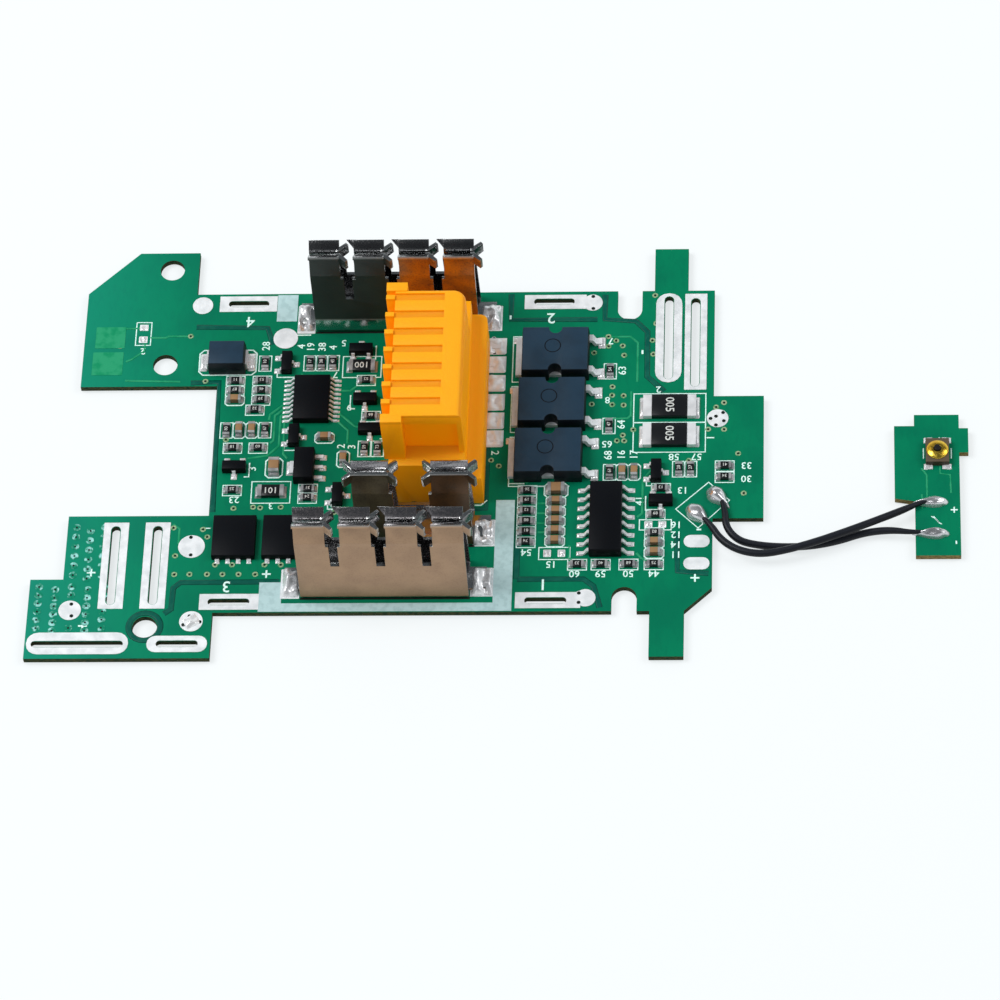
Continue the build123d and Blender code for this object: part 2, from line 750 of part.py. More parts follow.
def connector_housing():
    """The moulded housing: base, side ledge, ribbed tower with ears, and contact channels."""
    tower_right = BASE_WIDTH - TOWER_RIGHT_SETBACK
    tower_width = tower_right - TOWER_LEFT_SETBACK
    tower_rear = TOWER_FRONT_SETBACK + TOWER_LENGTH
    tower_top = BASE_HEIGHT + TOWER_HEIGHT
    rib_left = TOWER_LEFT_SETBACK - RIB_REACH
    ear_right = rib_left + TOWER_EAR_WIDTH
    ear_length = TOWER_EAR_REACH + TOWER_EAR_OVERLAP
    with BuildPart(CONNECTOR_BASE) as housing:
        Box(BASE_WIDTH, CONNECTOR_LENGTH, BASE_HEIGHT, align=FROM_CORNER)
        with Locations((BASE_WIDTH, 0, 0)):
            Box(LEDGE_WIDTH, CONNECTOR_LENGTH, LEDGE_HEIGHT, align=FROM_CORNER)
        ledge_corner = housing.edges().filter_by(Axis.Z).sort_by(Axis.X)[-2:].sort_by(Axis.Y)[-1]
        fillet(ledge_corner, LEDGE_CORNER_RADIUS)
        with Locations((TOWER_LEFT_SETBACK, TOWER_FRONT_SETBACK, BASE_HEIGHT)):
            Box(tower_width, TOWER_LENGTH, TOWER_HEIGHT, align=FROM_CORNER)
        tower_corner = housing.edges().filter_by(Axis.Z).sort_by(Axis.Z)[-4:].sort_by(Axis.X)[-2:]
        fillet(tower_corner.sort_by(Axis.Y)[-1], TOWER_CORNER_RADIUS)
        top_edges = housing.faces().sort_by(Axis.Z)[-1].edges()
        fillet(top_edges.sort_by(Axis.X)[-1], TOWER_EDGE_RADIUS)
        for y in (TOWER_FRONT_SETBACK - TOWER_EAR_REACH, tower_rear - TOWER_EAR_OVERLAP):
            with Locations((rib_left, y, BASE_HEIGHT)):
                Box(TOWER_EAR_WIDTH, ear_length, TOWER_HEIGHT, align=FROM_CORNER)
        for y in RIB_YS:
            with Locations((rib_left, y - RIB_THICKNESS / 2, BASE_HEIGHT)):
                Box(RIB_REACH, RIB_THICKNESS, TOWER_HEIGHT, align=FROM_CORNER)
            with Locations((TOWER_LEFT_SETBACK, y, tower_top)):
                Box(
                    GROOVE_LENGTH,
                    GROOVE_WIDTH,
                    GROOVE_DEPTH,
                    align=(Align.MIN, Align.CENTER, Align.MAX),
                    mode=Mode.SUBTRACT,
                )
        with Locations((ear_right, TOWER_FRONT_SETBACK, BASE_HEIGHT)):
            Box(
                tower_right - FRONT_RECESS_WALL - ear_right,
                FRONT_RECESS_DEPTH,
                FRONT_RECESS_HEIGHT,
                align=FROM_CORNER,
                mode=Mode.SUBTRACT,
            )
        with Locations(Location((TOWER_EAR_WIDTH, 0, 0), (90, 0, 0))):
            Cylinder(DRAIN_RADIUS, 2 * FRONT_RECESS_DEPTH, mode=Mode.SUBTRACT)
        for y in CONTACT_YS:
            with Locations((CONTACT_INSET - CONTACT_CLEARANCE, y, 0)):
                Box(
                    BASE_WIDTH + LEDGE_WIDTH,
                    CONTACT_WIDTH + 2 * CONTACT_CLEARANCE,
                    CONTACT_THICKNESS + CONTACT_CLEARANCE,
                    align=(Align.MIN, Align.CENTER, Align.MIN),
                    mode=Mode.SUBTRACT,
                )
                Box(
                    CONTACT_THICKNESS + 2 * CONTACT_CLEARANCE,
                    CONTACT_WIDTH + 2 * CONTACT_CLEARANCE,
                    CONTACT_HEIGHT + CONTACT_CLEARANCE,
                    align=(Align.MIN, Align.CENTER, Align.MIN),
                    mode=Mode.SUBTRACT,
                )
    return housing.part


def connector_contacts():
    """Bent strips that stand in the housing and run out to the pads on its right."""
    tail_end = BASE_WIDTH + LEDGE_WIDTH + CONTACT_TAIL
    with BuildPart(CONNECTOR_BASE) as contacts:
        with Locations(*((CONTACT_INSET, y, 0) for y in CONTACT_YS)):
            Box(
                tail_end - CONTACT_INSET,
                CONTACT_WIDTH,
                CONTACT_THICKNESS,
                align=(Align.MIN, Align.CENTER, Align.MIN),
            )
            Box(
                CONTACT_THICKNESS,
                CONTACT_WIDTH,
                CONTACT_HEIGHT,
                align=(Align.MIN, Align.CENTER, Align.MIN),
            )
    return contacts.part


# Packaged parts


def moulded_body(length, width, height, shoulder):
    """A moulded package: straight up to the shoulder, where its pins leave, then drafted."""
    with BuildPart() as body:
        Box(length, width, shoulder, align=STANDING)
        with BuildSketch(Plane.XY.offset(shoulder)):
            Rectangle(length, width)
        extrude(amount=height - shoulder, taper=BODY_DRAFT)
    return body.part


def gull_pin(pin, exit_height):
    """A gull-wing pin: out of the body at x = 0, down, and out along the board."""
    half = pin.thickness / 2
    knee = pin.reach - pin.foot
    with BuildPart() as formed:
        with BuildSketch(Plane.XZ):
            with BuildLine():
                Polyline(
                    (0, exit_height),
                    (pin.thickness, exit_height),
                    (knee, pin.thickness),
                    (pin.reach, pin.thickness),
                    (pin.reach, 0),
                    (knee - half, 0),
                    (half, exit_height - pin.thickness),
                    (0, exit_height - pin.thickness),
                    close=True,
                )
            make_face()
        extrude(amount=pin.width / 2, both=True)
    return formed.part


def pin_rows(place, half_width, count, pitch, pin):
    """Pins down both long sides of a chip whose length runs along Y."""
    ends = [(i - (count - 1) / 2) * pitch for i in range(count)]
    with BuildPart(MAIN_TOP) as pins:
        with Locations(*spots([place])):
            with Locations(*[Location((half_width, y, 0)) for y in ends]):
                add(pin)
            with Locations(*[Location((-half_width, y, 0), (0, 0, 180)) for y in ends]):
                add(pin)
    return pins.part


def placed(places, piece, plane=MAIN_TOP):
    """Copies of a piece at each place on a board."""
    with BuildPart(plane) as group:
        with Locations(*spots(places)):
            add(piece)
    return group.part


def power_transistor_body():
    """Moulded body with a notch in each long side, over its tab's pocket."""
    with BuildPart() as body:
        Box(TRANSISTOR_LENGTH, TRANSISTOR_WIDTH, TRANSISTOR_SHOULDER, align=STANDING)
        with BuildSketch(Plane.XY.offset(TRANSISTOR_SHOULDER)):
            Rectangle(TRANSISTOR_LENGTH, TRANSISTOR_WIDTH)
        extrude(amount=TRANSISTOR_HEIGHT - TRANSISTOR_SHOULDER, taper=BODY_DRAFT)
        with BuildSketch():
            with Locations((0, TRANSISTOR_WIDTH / 2), (0, -TRANSISTOR_WIDTH / 2)):
                SlotOverall(2 * TRANSISTOR_NOTCH_DEPTH, TRANSISTOR_NOTCH, rotation=90)
        extrude(amount=TRANSISTOR_HEIGHT, mode=Mode.SUBTRACT)
        with Locations((-TRANSISTOR_LENGTH / 2, 0, 0)):
            Box(
                TRANSISTOR_TAB_INSET,
                TRANSISTOR_TAB_WIDTH,
                TRANSISTOR_TAB_THICKNESS,
                align=(Align.MIN, Align.CENTER, Align.MIN),
                mode=Mode.SUBTRACT,
            )
    return body.part


def power_transistor_frame():
    """Copper tab under the body and its two outer pins."""
    pin = gull_pin(TRANSISTOR_PIN, TRANSISTOR_SHOULDER)
    pin_ys = (TRANSISTOR_LEAD_PITCH / 2, -TRANSISTOR_LEAD_PITCH / 2)
    with BuildPart() as frame:
        with Locations((-TRANSISTOR_LENGTH / 2 - TRANSISTOR_TAB_REACH, 0, 0)):
            Box(
                TRANSISTOR_TAB_INSET + TRANSISTOR_TAB_REACH,
                TRANSISTOR_TAB_WIDTH,
                TRANSISTOR_TAB_THICKNESS,
                align=(Align.MIN, Align.CENTER, Align.MIN),
            )
        with Locations(*[Location((TRANSISTOR_LENGTH / 2, y, 0)) for y in pin_ys]):
            add(pin)
    return frame.part


def flat_transistor_pins():
    """Four short pins at the front of a flat transistor and its wide drain edge behind."""
    with BuildPart() as pins:
        pin_xs = [(i - 1.5) * FLAT_PIN_PITCH for i in range(4)]
        with Locations(*((x, -FLAT_WIDTH / 2, 0) for x in pin_xs)):
            Box(
                FLAT_PIN_WIDTH,
                FLAT_PIN_REACH,
                FLAT_PIN_HEIGHT,
                align=(Align.CENTER, Align.MAX, Align.MIN),
            )
        with Locations((0, FLAT_WIDTH / 2, 0)):
            Box(
                3 * FLAT_PIN_PITCH + FLAT_PIN_WIDTH,
                FLAT_PIN_REACH,
                FLAT_PIN_HEIGHT,
                align=(Align.CENTER, Align.MIN, Align.MIN),
            )
    return pins.part


def diode_ends():
    """Folded strips on both ends of the protection diode, each with a foot on its pad."""
    with BuildPart() as ends:
        for side in (1, -1):
            with Locations(Location((side * DIODE_LENGTH / 2, 0, 0), (0, 0, 0 if side > 0 else 180))):
                Box(
                    DIODE_STRIP_THICKNESS,
                    DIODE_STRIP_WIDTH,
                    DIODE_STRIP_HEIGHT,
                    align=(Align.MIN, Align.CENTER, Align.MIN),
                )
                Box(
                    DIODE_FOOT,
                    DIODE_STRIP_WIDTH,
                    DIODE_STRIP_THICKNESS,
                    align=(Align.MIN, Align.CENTER, Align.MIN),
                )
    return ends.part


def shunt_ends():
    """Metal ends of a current-sense shunt."""
    with BuildPart() as ends:
        for side in (1, -1):
            with Locations((side * (SHUNT_BODY_LENGTH + SHUNT_END_LENGTH) / 2, 0, 0)):
                Box(SHUNT_END_LENGTH, SHUNT_WIDTH, SHUNT_END_HEIGHT, align=STANDING)
    return ends.part


def regulator_pins():
    """Three flat pins on one side of the regulator and its heat tab on the other."""
    with BuildPart() as pins:
        with Locations(*((i * REGULATOR_PIN_PITCH, -REGULATOR_WIDTH / 2, 0) for i in (-1, 0, 1))):
            Box(
                REGULATOR_PIN_WIDTH,
                REGULATOR_PIN_REACH,
                REGULATOR_PIN_THICKNESS,
                align=(Align.CENTER, Align.MAX, Align.MIN),
            )
        with Locations((0, REGULATOR_WIDTH / 2, 0)):
            Box(
                REGULATOR_TAB_WIDTH,
                REGULATOR_TAB_REACH,
                REGULATOR_PIN_THICKNESS,
                align=(Align.CENTER, Align.MIN, Align.MIN),
            )
    return pins.part


def small_pins():
    """The three gull-wing pins of a small transistor."""
    pin = gull_pin(SMALL_PIN, SMALL_HEIGHT * SHOULDER_SHARE)
    front = Location((0, -SMALL_WIDTH / 2, 0), (0, 0, -90))
    rear = [
        Location((side * SMALL_PIN_SPREAD / 2, SMALL_WIDTH / 2, 0), (0, 0, 90)) for side in (1, -1)
    ]
    with BuildPart() as pins:
        with Locations(front, *rear):
            add(pin)
    return pins.part


def chip_bodies(chip, places):
    """The bodies of a bank of chips, between their metal ends."""
    with BuildPart(MAIN_TOP) as bodies:
        with Locations(*spots(places)):
            Box(chip.length - 2 * chip.end, chip.width, chip.height, align=STANDING)
    return bodies.part


def chip_ends(chip, places):
    """The metal ends of a bank of chips."""
    with BuildPart(MAIN_TOP) as ends:
        with Locations(*spots(places)):
            with Locations(((chip.length - chip.end) / 2, 0, 0), ((chip.end - chip.length) / 2, 0, 0)):
                Box(chip.end, chip.width, chip.height, align=STANDING)
    return ends.part


# Push switch

BUTTON_BASE = Plane(SWITCH_TOP.from_local_coords(Vector(BUTTON_X, BUTTON_Y, 0)))
BUTTON_SECTION = Plane(BUTTON_BASE.origin, x_dir=(1, 0, 0), z_dir=(0, -1, 0))
BUTTON_AXIS = Axis(BUTTON_BASE.origin, (0, 0, 1))


def button_base():
    """Square base with a round pocket for the snap dome."""
    with BuildPart(BUTTON_BASE) as base:
        Box(BUTTON_BASE_WIDTH, BUTTON_BASE_DEPTH, BUTTON_BASE_HEIGHT, align=STANDING)
        with Locations((0, 0, BUTTON_POCKET_FLOOR)):
            Cylinder(BUTTON_POCKET_RADIUS, BUTTON_BASE_HEIGHT, align=STANDING, mode=Mode.SUBTRACT)
    return base.part


def button_cover():
    """Domed ring that closes the pocket and keeps the plunger in."""
    hole = PLUNGER_RADIUS + PLUNGER_CLEARANCE
    top = BUTTON_BASE_HEIGHT + COVER_RISE
    shoulder = top - COVER_SHOULDER_DROP
    with BuildPart() as cover:
        with BuildSketch(BUTTON_SECTION):
            with BuildLine():
                Polyline(
                    (hole, top),
                    (COVER_SHOULDER_RADIUS, shoulder),
                    (COVER_RADIUS, BUTTON_BASE_HEIGHT + COVER_THICKNESS),
                    (COVER_RADIUS, BUTTON_BASE_HEIGHT),
                    (BUTTON_POCKET_RADIUS, BUTTON_BASE_HEIGHT),
                    (COVER_SHOULDER_RADIUS - COVER_THICKNESS, shoulder - COVER_THICKNESS),
                    (hole, top - COVER_THICKNESS),
                    close=True,
                )
            make_face()
        revolve(axis=BUTTON_AXIS)
    return cover.part


def button_plunger():
    """Plunger with a flange under the cover, standing just clear of the dome."""
    bottom = BUTTON_POCKET_FLOOR + DOME_RISE + PLUNGER_CLEARANCE
    flange_top = bottom + PLUNGER_FLANGE_THICKNESS
    with BuildPart() as plunger:
        with BuildSketch(BUTTON_SECTION):
            with BuildLine():
                Polyline(
                    (0, bottom),
                    (PLUNGER_RADIUS + PLUNGER_FLANGE, bottom),
                    (PLUNGER_RADIUS + PLUNGER_FLANGE, flange_top),
                    (PLUNGER_RADIUS, flange_top),
                    (PLUNGER_RADIUS, PLUNGER_HEIGHT),
                    (0, PLUNGER_HEIGHT),
                    close=True,
                )
            make_face()
        revolve(axis=BUTTON_AXIS)
    return plunger.part


def button_dome():
    """Snap dome of spring steel on the pocket's floor."""
    top = BUTTON_POCKET_FLOOR + DOME_RISE
    with BuildPart() as dome:
        with BuildSketch(BUTTON_SECTION):
            with BuildLine():
                Polyline(
                    (0, top),
                    (DOME_RADIUS, BUTTON_POCKET_FLOOR + DOME_THICKNESS),
                    (DOME_RADIUS, BUTTON_POCKET_FLOOR),
                    (0, top - DOME_THICKNESS),
                    close=True,
                )
            make_face()
        revolve(axis=BUTTON_AXIS)
    return dome.part


def button_legs():
    """Four short legs that solder the switch down."""
    with BuildPart(BUTTON_BASE) as legs:
        for side in (1, -1):
            with Locations(
                (BUTTON_LEG_SPREAD / 2, side * BUTTON_BASE_DEPTH / 2, 0),
                (-BUTTON_LEG_SPREAD / 2, side * BUTTON_BASE_DEPTH / 2, 0),
            ):
                Box(
                    BUTTON_LEG_WIDTH,
                    BUTTON_LEG_REACH,
                    BUTTON_LEG_THICKNESS,
                    align=(Align.CENTER, Align.MIN if side > 0 else Align.MAX, Align.MIN),
                )
    return legs.part


# Leads and their solder joints


def bend_radii(route):
    """The largest radius that fits each corner of a route, from the runs beside it."""
    points = [Vector(*point) for point in route]
    radii = []
    for before, corner, after in zip(points, points[1:], points[2:]):
        arriving = corner - before
        leaving = after - corner
        half_turn = radians(arriving.get_angle(leaving)) / 2
        radii.append(BEND_SHARE * min(arriving.length, leaving.length) / tan(half_turn))
    return radii


def lead(name, route):
    """A lead, round in ten sides, along straight runs joined by tangent arcs."""
    radii = bend_radii(route)
    with BuildPart() as tube:
        with BuildLine() as line:
            FilletPolyline(*route, radius=radii)
        path = line.wire()
        with BuildSketch(Plane(origin=path @ 0, z_dir=path % 0)) as section:
            RegularPolygon(LEAD_DIAMETER / 2, LEAD_SIDES)
        sweep(path=path)
    expected = section.sketch.area * path.length
    print(name, "length", round(path.length, 2), "radii", [round(r, 1) for r in radii])
    print(name, "volume", round(tube.part.volume, 3), "expected", round(expected, 3))
    return tube.part


def solder_joint(length, width):
    """A long solder blob, drawn in flats, with its broad side on the board."""
    with BuildPart() as joint:
        with BuildSketch():
            outline = Rectangle(length, width)
            chamfer(outline.vertices(), width * JOINT_CORNER_SHARE)
        extrude(amount=JOINT_SHOULDER)
        top = joint.faces().sort_by(Axis.Z)[-1]
        extrude(top, amount=JOINT_HEIGHT - JOINT_SHOULDER, taper=JOINT_DRAFT)
    return joint.part


def build_boards():
    """Both boards, the clips and the connector."""
    power = power_fingers()
    save(main_board(), "main_board")
    save(switch_board(), "switch_board")
    save(spring_clip(POSITIVE_CLIP_Y, POWER_CLIP_LEFT, power), "positive_clip")
    save(spring_clip(CHARGE_CLIP_Y, CHARGE_CLIP_LEFT, charge_fingers()), "charge_clip")
    save(spring_clip(NEGATIVE_CLIP_Y, POWER_CLIP_LEFT, power), "negative_clip")
    save(connector_housing(), "connector_housing")
    save(connector_contacts(), "connector_contacts")


def package(length, width, height):
    """A moulded package whose pins leave at the usual share of its height."""
    return moulded_body(length, width, height, height * SHOULDER_SHARE)


def build_transistors():
    """Power transistors in a slightly slanting row, and flat ones behind the positive clip."""
    body = power_transistor_body()
    frame = power_transistor_frame()
    for i in range(TRANSISTOR_COUNT):
        place = (TRANSISTOR_X - i * TRANSISTOR_DRIFT, TRANSISTOR_Y - i * TRANSISTOR_PITCH, 0)
        save(placed([place], body), f"power_transistor_{i + 1}_body")
        save(placed([place], frame), f"power_transistor_{i + 1}_frame")
    flat_body = package(FLAT_LENGTH, FLAT_WIDTH, FLAT_HEIGHT)
    flat_pins = flat_transistor_pins()
    flat_y = POSITIVE_CLIP_Y + CLIP_DEPTH + FLAT_TO_CLIP_GAP + FLAT_WIDTH / 2
    for i in range(FLAT_COUNT):
        place = (FLAT_X + i * FLAT_PITCH, flat_y, 0)
        save(placed([place], flat_body), f"flat_transistor_{i + 1}_body")
        save(placed([place], flat_pins), f"flat_transistor_{i + 1}_pins")


def build_packages():
    """Chips, diode, shunts, regulator and small transistors, each body apart from its metal."""
    controller_place = (CONTROLLER_X, CONTROLLER_Y, 0)
    controller = package(CONTROLLER_WIDTH, CONTROLLER_LENGTH, CONTROLLER_HEIGHT)
    controller_pin = gull_pin(CONTROLLER_PIN, CONTROLLER_HEIGHT * SHOULDER_SHARE)
    save(placed([controller_place], controller), "controller_chip_body")
    save(
        pin_rows(
            controller_place, CONTROLLER_WIDTH / 2, CONTROLLER_PINS, CONTROLLER_PITCH, controller_pin
        ),
        "controller_chip_pins",
    )
    balance_place = (BALANCE_X, BALANCE_Y, 0)
    balance = package(BALANCE_WIDTH, BALANCE_LENGTH, BALANCE_HEIGHT)
    balance_pin = gull_pin(BALANCE_PIN, BALANCE_HEIGHT * SHOULDER_SHARE)
    save(placed([balance_place], balance), "balance_chip_body")
    save(
        pin_rows(balance_place, BALANCE_WIDTH / 2, BALANCE_PINS, BALANCE_PITCH, balance_pin),
        "balance_chip_pins",
    )
    diode_place = (DIODE_X, DIODE_Y, 0)
    diode = moulded_body(DIODE_LENGTH, DIODE_WIDTH, DIODE_HEIGHT, DIODE_STRIP_HEIGHT)
    save(placed([diode_place], diode), "protection_diode_body")
    save(placed([diode_place], diode_ends()), "protection_diode_ends")
    with BuildPart() as shunt:
        Box(SHUNT_BODY_LENGTH, SHUNT_WIDTH, SHUNT_HEIGHT, align=STANDING)
    for i in range(SHUNT_COUNT):
        place = (SHUNT_X, SHUNT_Y - i * SHUNT_PITCH, 0)
        save(placed([place], shunt.part), f"shunt_{i + 1}_body")
        save(placed([place], shunt_ends()), f"shunt_{i + 1}_ends")
    regulator_place = (REGULATOR_X, REGULATOR_Y, REGULATOR_TURN)
    regulator = package(REGULATOR_LENGTH, REGULATOR_WIDTH, REGULATOR_HEIGHT)
    save(placed([regulator_place], regulator), "regulator_body")
    save(placed([regulator_place], regulator_pins()), "regulator_pins")
    small = package(SMALL_LENGTH, SMALL_WIDTH, SMALL_HEIGHT)
    save(placed(SMALL_PLACES, small), "small_transistor_bodies")
    save(placed(SMALL_PLACES, small_pins()), "small_transistor_pins")


def build_chips():
    """Banks of chip resistors and capacitors."""
    banks = (
        ("controller_resistor", RESISTOR, CONTROLLER_RESISTORS),
        ("balance_resistor", RESISTOR, BALANCE_RESISTORS),
        ("sense_resistor", RESISTOR, SENSE_RESISTORS),
        ("large_resistor", LARGE_RESISTOR, LARGE_RESISTORS),
        ("controller_capacitor", CAPACITOR, CONTROLLER_CAPACITORS),
        ("filter_capacitor", CAPACITOR, FILTER_CAPACITORS),
        ("large_capacitor", LARGE_CAPACITOR, LARGE_CAPACITORS),
    )
    for name, chip, places in banks:
        save(chip_bodies(chip, places), f"{name}_bodies")
        save(chip_ends(chip, places), f"{name}_ends")


def build_switch_and_leads():
    """The push switch's pieces, the two leads and their solder joints."""
    save(button_base(), "button_base")
    save(button_cover(), "button_cover")
    save(button_plunger(), "button_plunger")
    save(button_dome(), "button_dome")
    save(button_legs(), "button_legs")
    main_joint = solder_joint(MAIN_JOINT_LENGTH, MAIN_JOINT_WIDTH)
    main_places = [(x, y, MAIN_JOINT_TURN) for x, y in MAIN_JOINTS]
    save(placed(main_places, main_joint), "main_board_joints")
    switch_joint = solder_joint(SWITCH_JOINT_LENGTH, SWITCH_JOINT_WIDTH)
    switch_places = [(x, y, 0) for x, y in SWITCH_JOINTS]
    save(placed(switch_places, switch_joint, SWITCH_TOP), "switch_board_joints")
    save(lead("positive_lead", POSITIVE_LEAD_ROUTE), "positive_lead")
    save(lead("negative_lead", NEGATIVE_LEAD_ROUTE), "negative_lead")


os.makedirs("parts", exist_ok=True)
build_boards()
build_transistors()
build_packages()
build_chips()
build_switch_and_leads()
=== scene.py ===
"""Dresses the battery management board: lacquered boards with pads, vias and printed legend,
spring clips, signal connector, moulded packages, chips, solder, push switch and leads."""

import logging
import math
from dataclasses import dataclass, field
from enum import Enum
from typing import Any, Iterable, Sequence

import bmesh
import bpy
from mathutils import Matrix, Vector, noise


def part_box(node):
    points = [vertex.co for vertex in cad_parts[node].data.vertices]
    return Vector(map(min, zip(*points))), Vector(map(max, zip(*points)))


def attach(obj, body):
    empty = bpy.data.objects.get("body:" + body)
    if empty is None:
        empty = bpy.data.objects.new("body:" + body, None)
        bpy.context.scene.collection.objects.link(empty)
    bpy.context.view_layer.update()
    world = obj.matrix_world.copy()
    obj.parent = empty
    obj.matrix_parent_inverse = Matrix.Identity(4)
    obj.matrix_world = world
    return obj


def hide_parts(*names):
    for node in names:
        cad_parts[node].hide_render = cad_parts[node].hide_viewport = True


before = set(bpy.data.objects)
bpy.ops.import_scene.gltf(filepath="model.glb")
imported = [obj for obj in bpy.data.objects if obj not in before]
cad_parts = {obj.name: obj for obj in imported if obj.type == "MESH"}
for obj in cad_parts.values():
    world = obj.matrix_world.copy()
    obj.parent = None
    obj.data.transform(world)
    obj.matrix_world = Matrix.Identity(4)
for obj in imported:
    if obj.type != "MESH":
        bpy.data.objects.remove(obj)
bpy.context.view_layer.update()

log = logging.getLogger("board")
MM = 0.001
BOARDS = "boards"
PLUNGER = "plunger"
RESISTOR_BANKS = ("controller_resistor", "balance_resistor", "sense_resistor")
CAPACITOR_BANKS = ("controller_capacitor", "filter_capacitor")

Colour = tuple[float, float, float]
Point = tuple[float, float]
Route = tuple[tuple[float, float, float, float], ...]


class Slot(Enum):
    """Material slots of the record, by name; nothing in the script reads them."""

    LACQUER = "solder_mask"
    SHEET = "contact_metal"
    HOUSING = "connector_plastic"
    POWER_BODY = "power_moulding"
    BODY = "moulding"
    TINNED = "tinned_metal"
    RESISTOR = "resistor_ceramic"
    CAPACITOR = "capacitor_ceramic"
    INSULATION = "lead_insulation"
    SOLDER = "solder"
    GOLD = "gold_plate"
    BUTTON = "button_plastic"
    STEEL = "spring_steel"


# Shader nodes


class Wire:
    """A shader value that is used in plain arithmetic."""

    def __init__(self, recipe: "Nodes", socket: bpy.types.NodeSocket) -> None:
        """Keeps the socket and the tree that it belongs to."""
        self.recipe = recipe
        self.socket = socket

    def maths(self, operation: str, *others: Any) -> "Wire":
        """Adds one Math node.

        Args:
            operation: the node's operation.
            others: the values or wires after this one.

        Returns:
            The node's result.
        """
        values = dict(enumerate((self, *others)))
        return self.recipe.node("ShaderNodeMath", {"operation": operation}, values)

    def __add__(self, other: Any) -> "Wire":
        """This plus other."""
        return self.maths("ADD", other)

    def __radd__(self, other: Any) -> "Wire":
        """Other plus this."""
        return self.maths("ADD", other)

    def __sub__(self, other: Any) -> "Wire":
        """This minus other."""
        return self.maths("SUBTRACT", other)

    def __rsub__(self, other: float) -> "Wire":
        """Other minus this."""
        return self.maths("MULTIPLY", -1.0).maths("ADD", other)

    def __mul__(self, other: Any) -> "Wire":
        """This times other."""
        return self.maths("MULTIPLY", other)

    def __rmul__(self, other: Any) -> "Wire":
        """Other times this."""
        return self.maths("MULTIPLY", other)

    def __abs__(self) -> "Wire":
        """This without its sign."""
        return self.maths("ABSOLUTE")

    def step(self, low: float, high: float) -> "Wire":
        """Runs smoothly from 0 at low to 1 at high, or the other way round if low is higher.

        Args:
            low: the value that gives 0.
            high: the value that gives 1.

        Returns:
            The mask.
        """
        if low > high:
            return 1 - self.step(high, low)
        return self.recipe.node(
            "ShaderNodeMapRange",
            {"interpolation_type": "SMOOTHSTEP"},
            {"Value": self, "From Min": low, "From Max": high},
        )


class Nodes:
    """A node tree under construction. Each method adds the nodes that it names."""

    def __init__(self, tree: bpy.types.NodeTree) -> None:
        """Empties the tree that the nodes go into."""
        self.tree = tree
        self.tree.nodes.clear()

    def node(
        self,
        kind: str,
        settings: dict[str, Any] | None = None,
        inputs: dict[Any, Any] | None = None,
        output: str | int | None = 0,
    ) -> Wire | None:
        """Adds any node.

        Args:
            kind: the node's type.
            settings: its properties, such as a Math node's operation.
            inputs: socket name or number to a value or a wire.
            output: the name or number of the socket to return, or None for an end node.

        Returns:
            The chosen output, if there is one.
        """
        made = self.tree.nodes.new(kind)
        for key, value in (settings or {}).items():
            setattr(made, key, value)
        for key, value in (inputs or {}).items():
            if isinstance(value, Wire):
                self.tree.links.new(value.socket, made.inputs[key])
            else:
                made.inputs[key].default_value = value
        return None if output is None else Wire(self, made.outputs[output])

    def axes(self, source: Wire) -> tuple[Wire, Wire, Wire]:
        """The three parts of a vector."""
        made = self.node("ShaderNodeSeparateXYZ", None, {0: source}).socket.node
        return tuple(Wire(self, made.outputs[i]) for i in range(3))

    def blend(self, factor: Any, first: Any, second: Any) -> Wire:
        """Mixes two colours.

        Args:
            factor: 0 for the first, 1 for the second.
            first: a colour or a wire.
            second: a colour or a wire.

        Returns:
            The mixed colour.
        """
        values = {0: factor}
        for key, colour in ((6, first), (7, second)):
            values[key] = colour if isinstance(colour, Wire) else (*colour, 1.0)
        return self.node("ShaderNodeMix", {"data_type": "RGBA"}, values, 2)

    def finish(self, shader: Wire, kind: str = "ShaderNodeOutputMaterial") -> None:
        """Connects a shader to the tree's output node, which is of that type."""
        self.node(kind, None, {"Surface": shader}, None)


class Recipe(Nodes):
    """A material under construction."""

    def __init__(self, name: str) -> None:
        """Makes an empty material of that name."""
        self.material = bpy.data.materials.new(name)
        self.material.use_nodes = True
        super().__init__(self.material.node_tree)
        self.place = self.node("ShaderNodeTexCoord", output="Object")

    def normal(self) -> tuple[Wire, Wire, Wire]:
        """The parts of the surface's own direction."""
        return self.axes(self.node("ShaderNodeNewGeometry", output="Normal"))

    def grain(self, size: float, detail: float = 2.0, stretch: Sequence[float] = (1, 1, 1)) -> Wire:
        """Noise whose patches are about that size.

        Args:
            size: patch size in millimetres.
            detail: how many finer layers it has.
            stretch: a factor on each axis.

        Returns:
            Values around 0.5.
        """
        scaled = self.node(
            "ShaderNodeMapping", None, {"Vector": self.place, "Scale": tuple(stretch)}
        )
        return self.node(
            "ShaderNodeTexNoise",
            None,
            {"Vector": scaled, "Scale": 1 / (size * MM), "Detail": detail},
        )

    def relief(self, height: Wire, depth: float) -> Wire:
        """A bump from a height field.

        Args:
            height: the field, 0 to 1.
            depth: how far 1 stands above 0, in millimetres.

        Returns:
            The bent normal.
        """
        return self.node("ShaderNodeBump", None, {"Distance": depth * MM, "Height": height})

    def surface(self, **sockets: Any) -> bpy.types.Material:
        """Ends the material in one Principled shader.

        Args:
            sockets: socket names with underscores for spaces, to values or wires.

        Returns:
            The finished material.
        """
        inputs = {}
        for key, value in sockets.items():
            colour = key.endswith("Color") and isinstance(value, tuple)
            inputs[key.replace("_", " ")] = (*value, 1.0) if colour else value
        shader = self.node("ShaderNodeBsdfPrincipled", None, inputs)
        self.finish(shader)
        return self.material


# Finishes


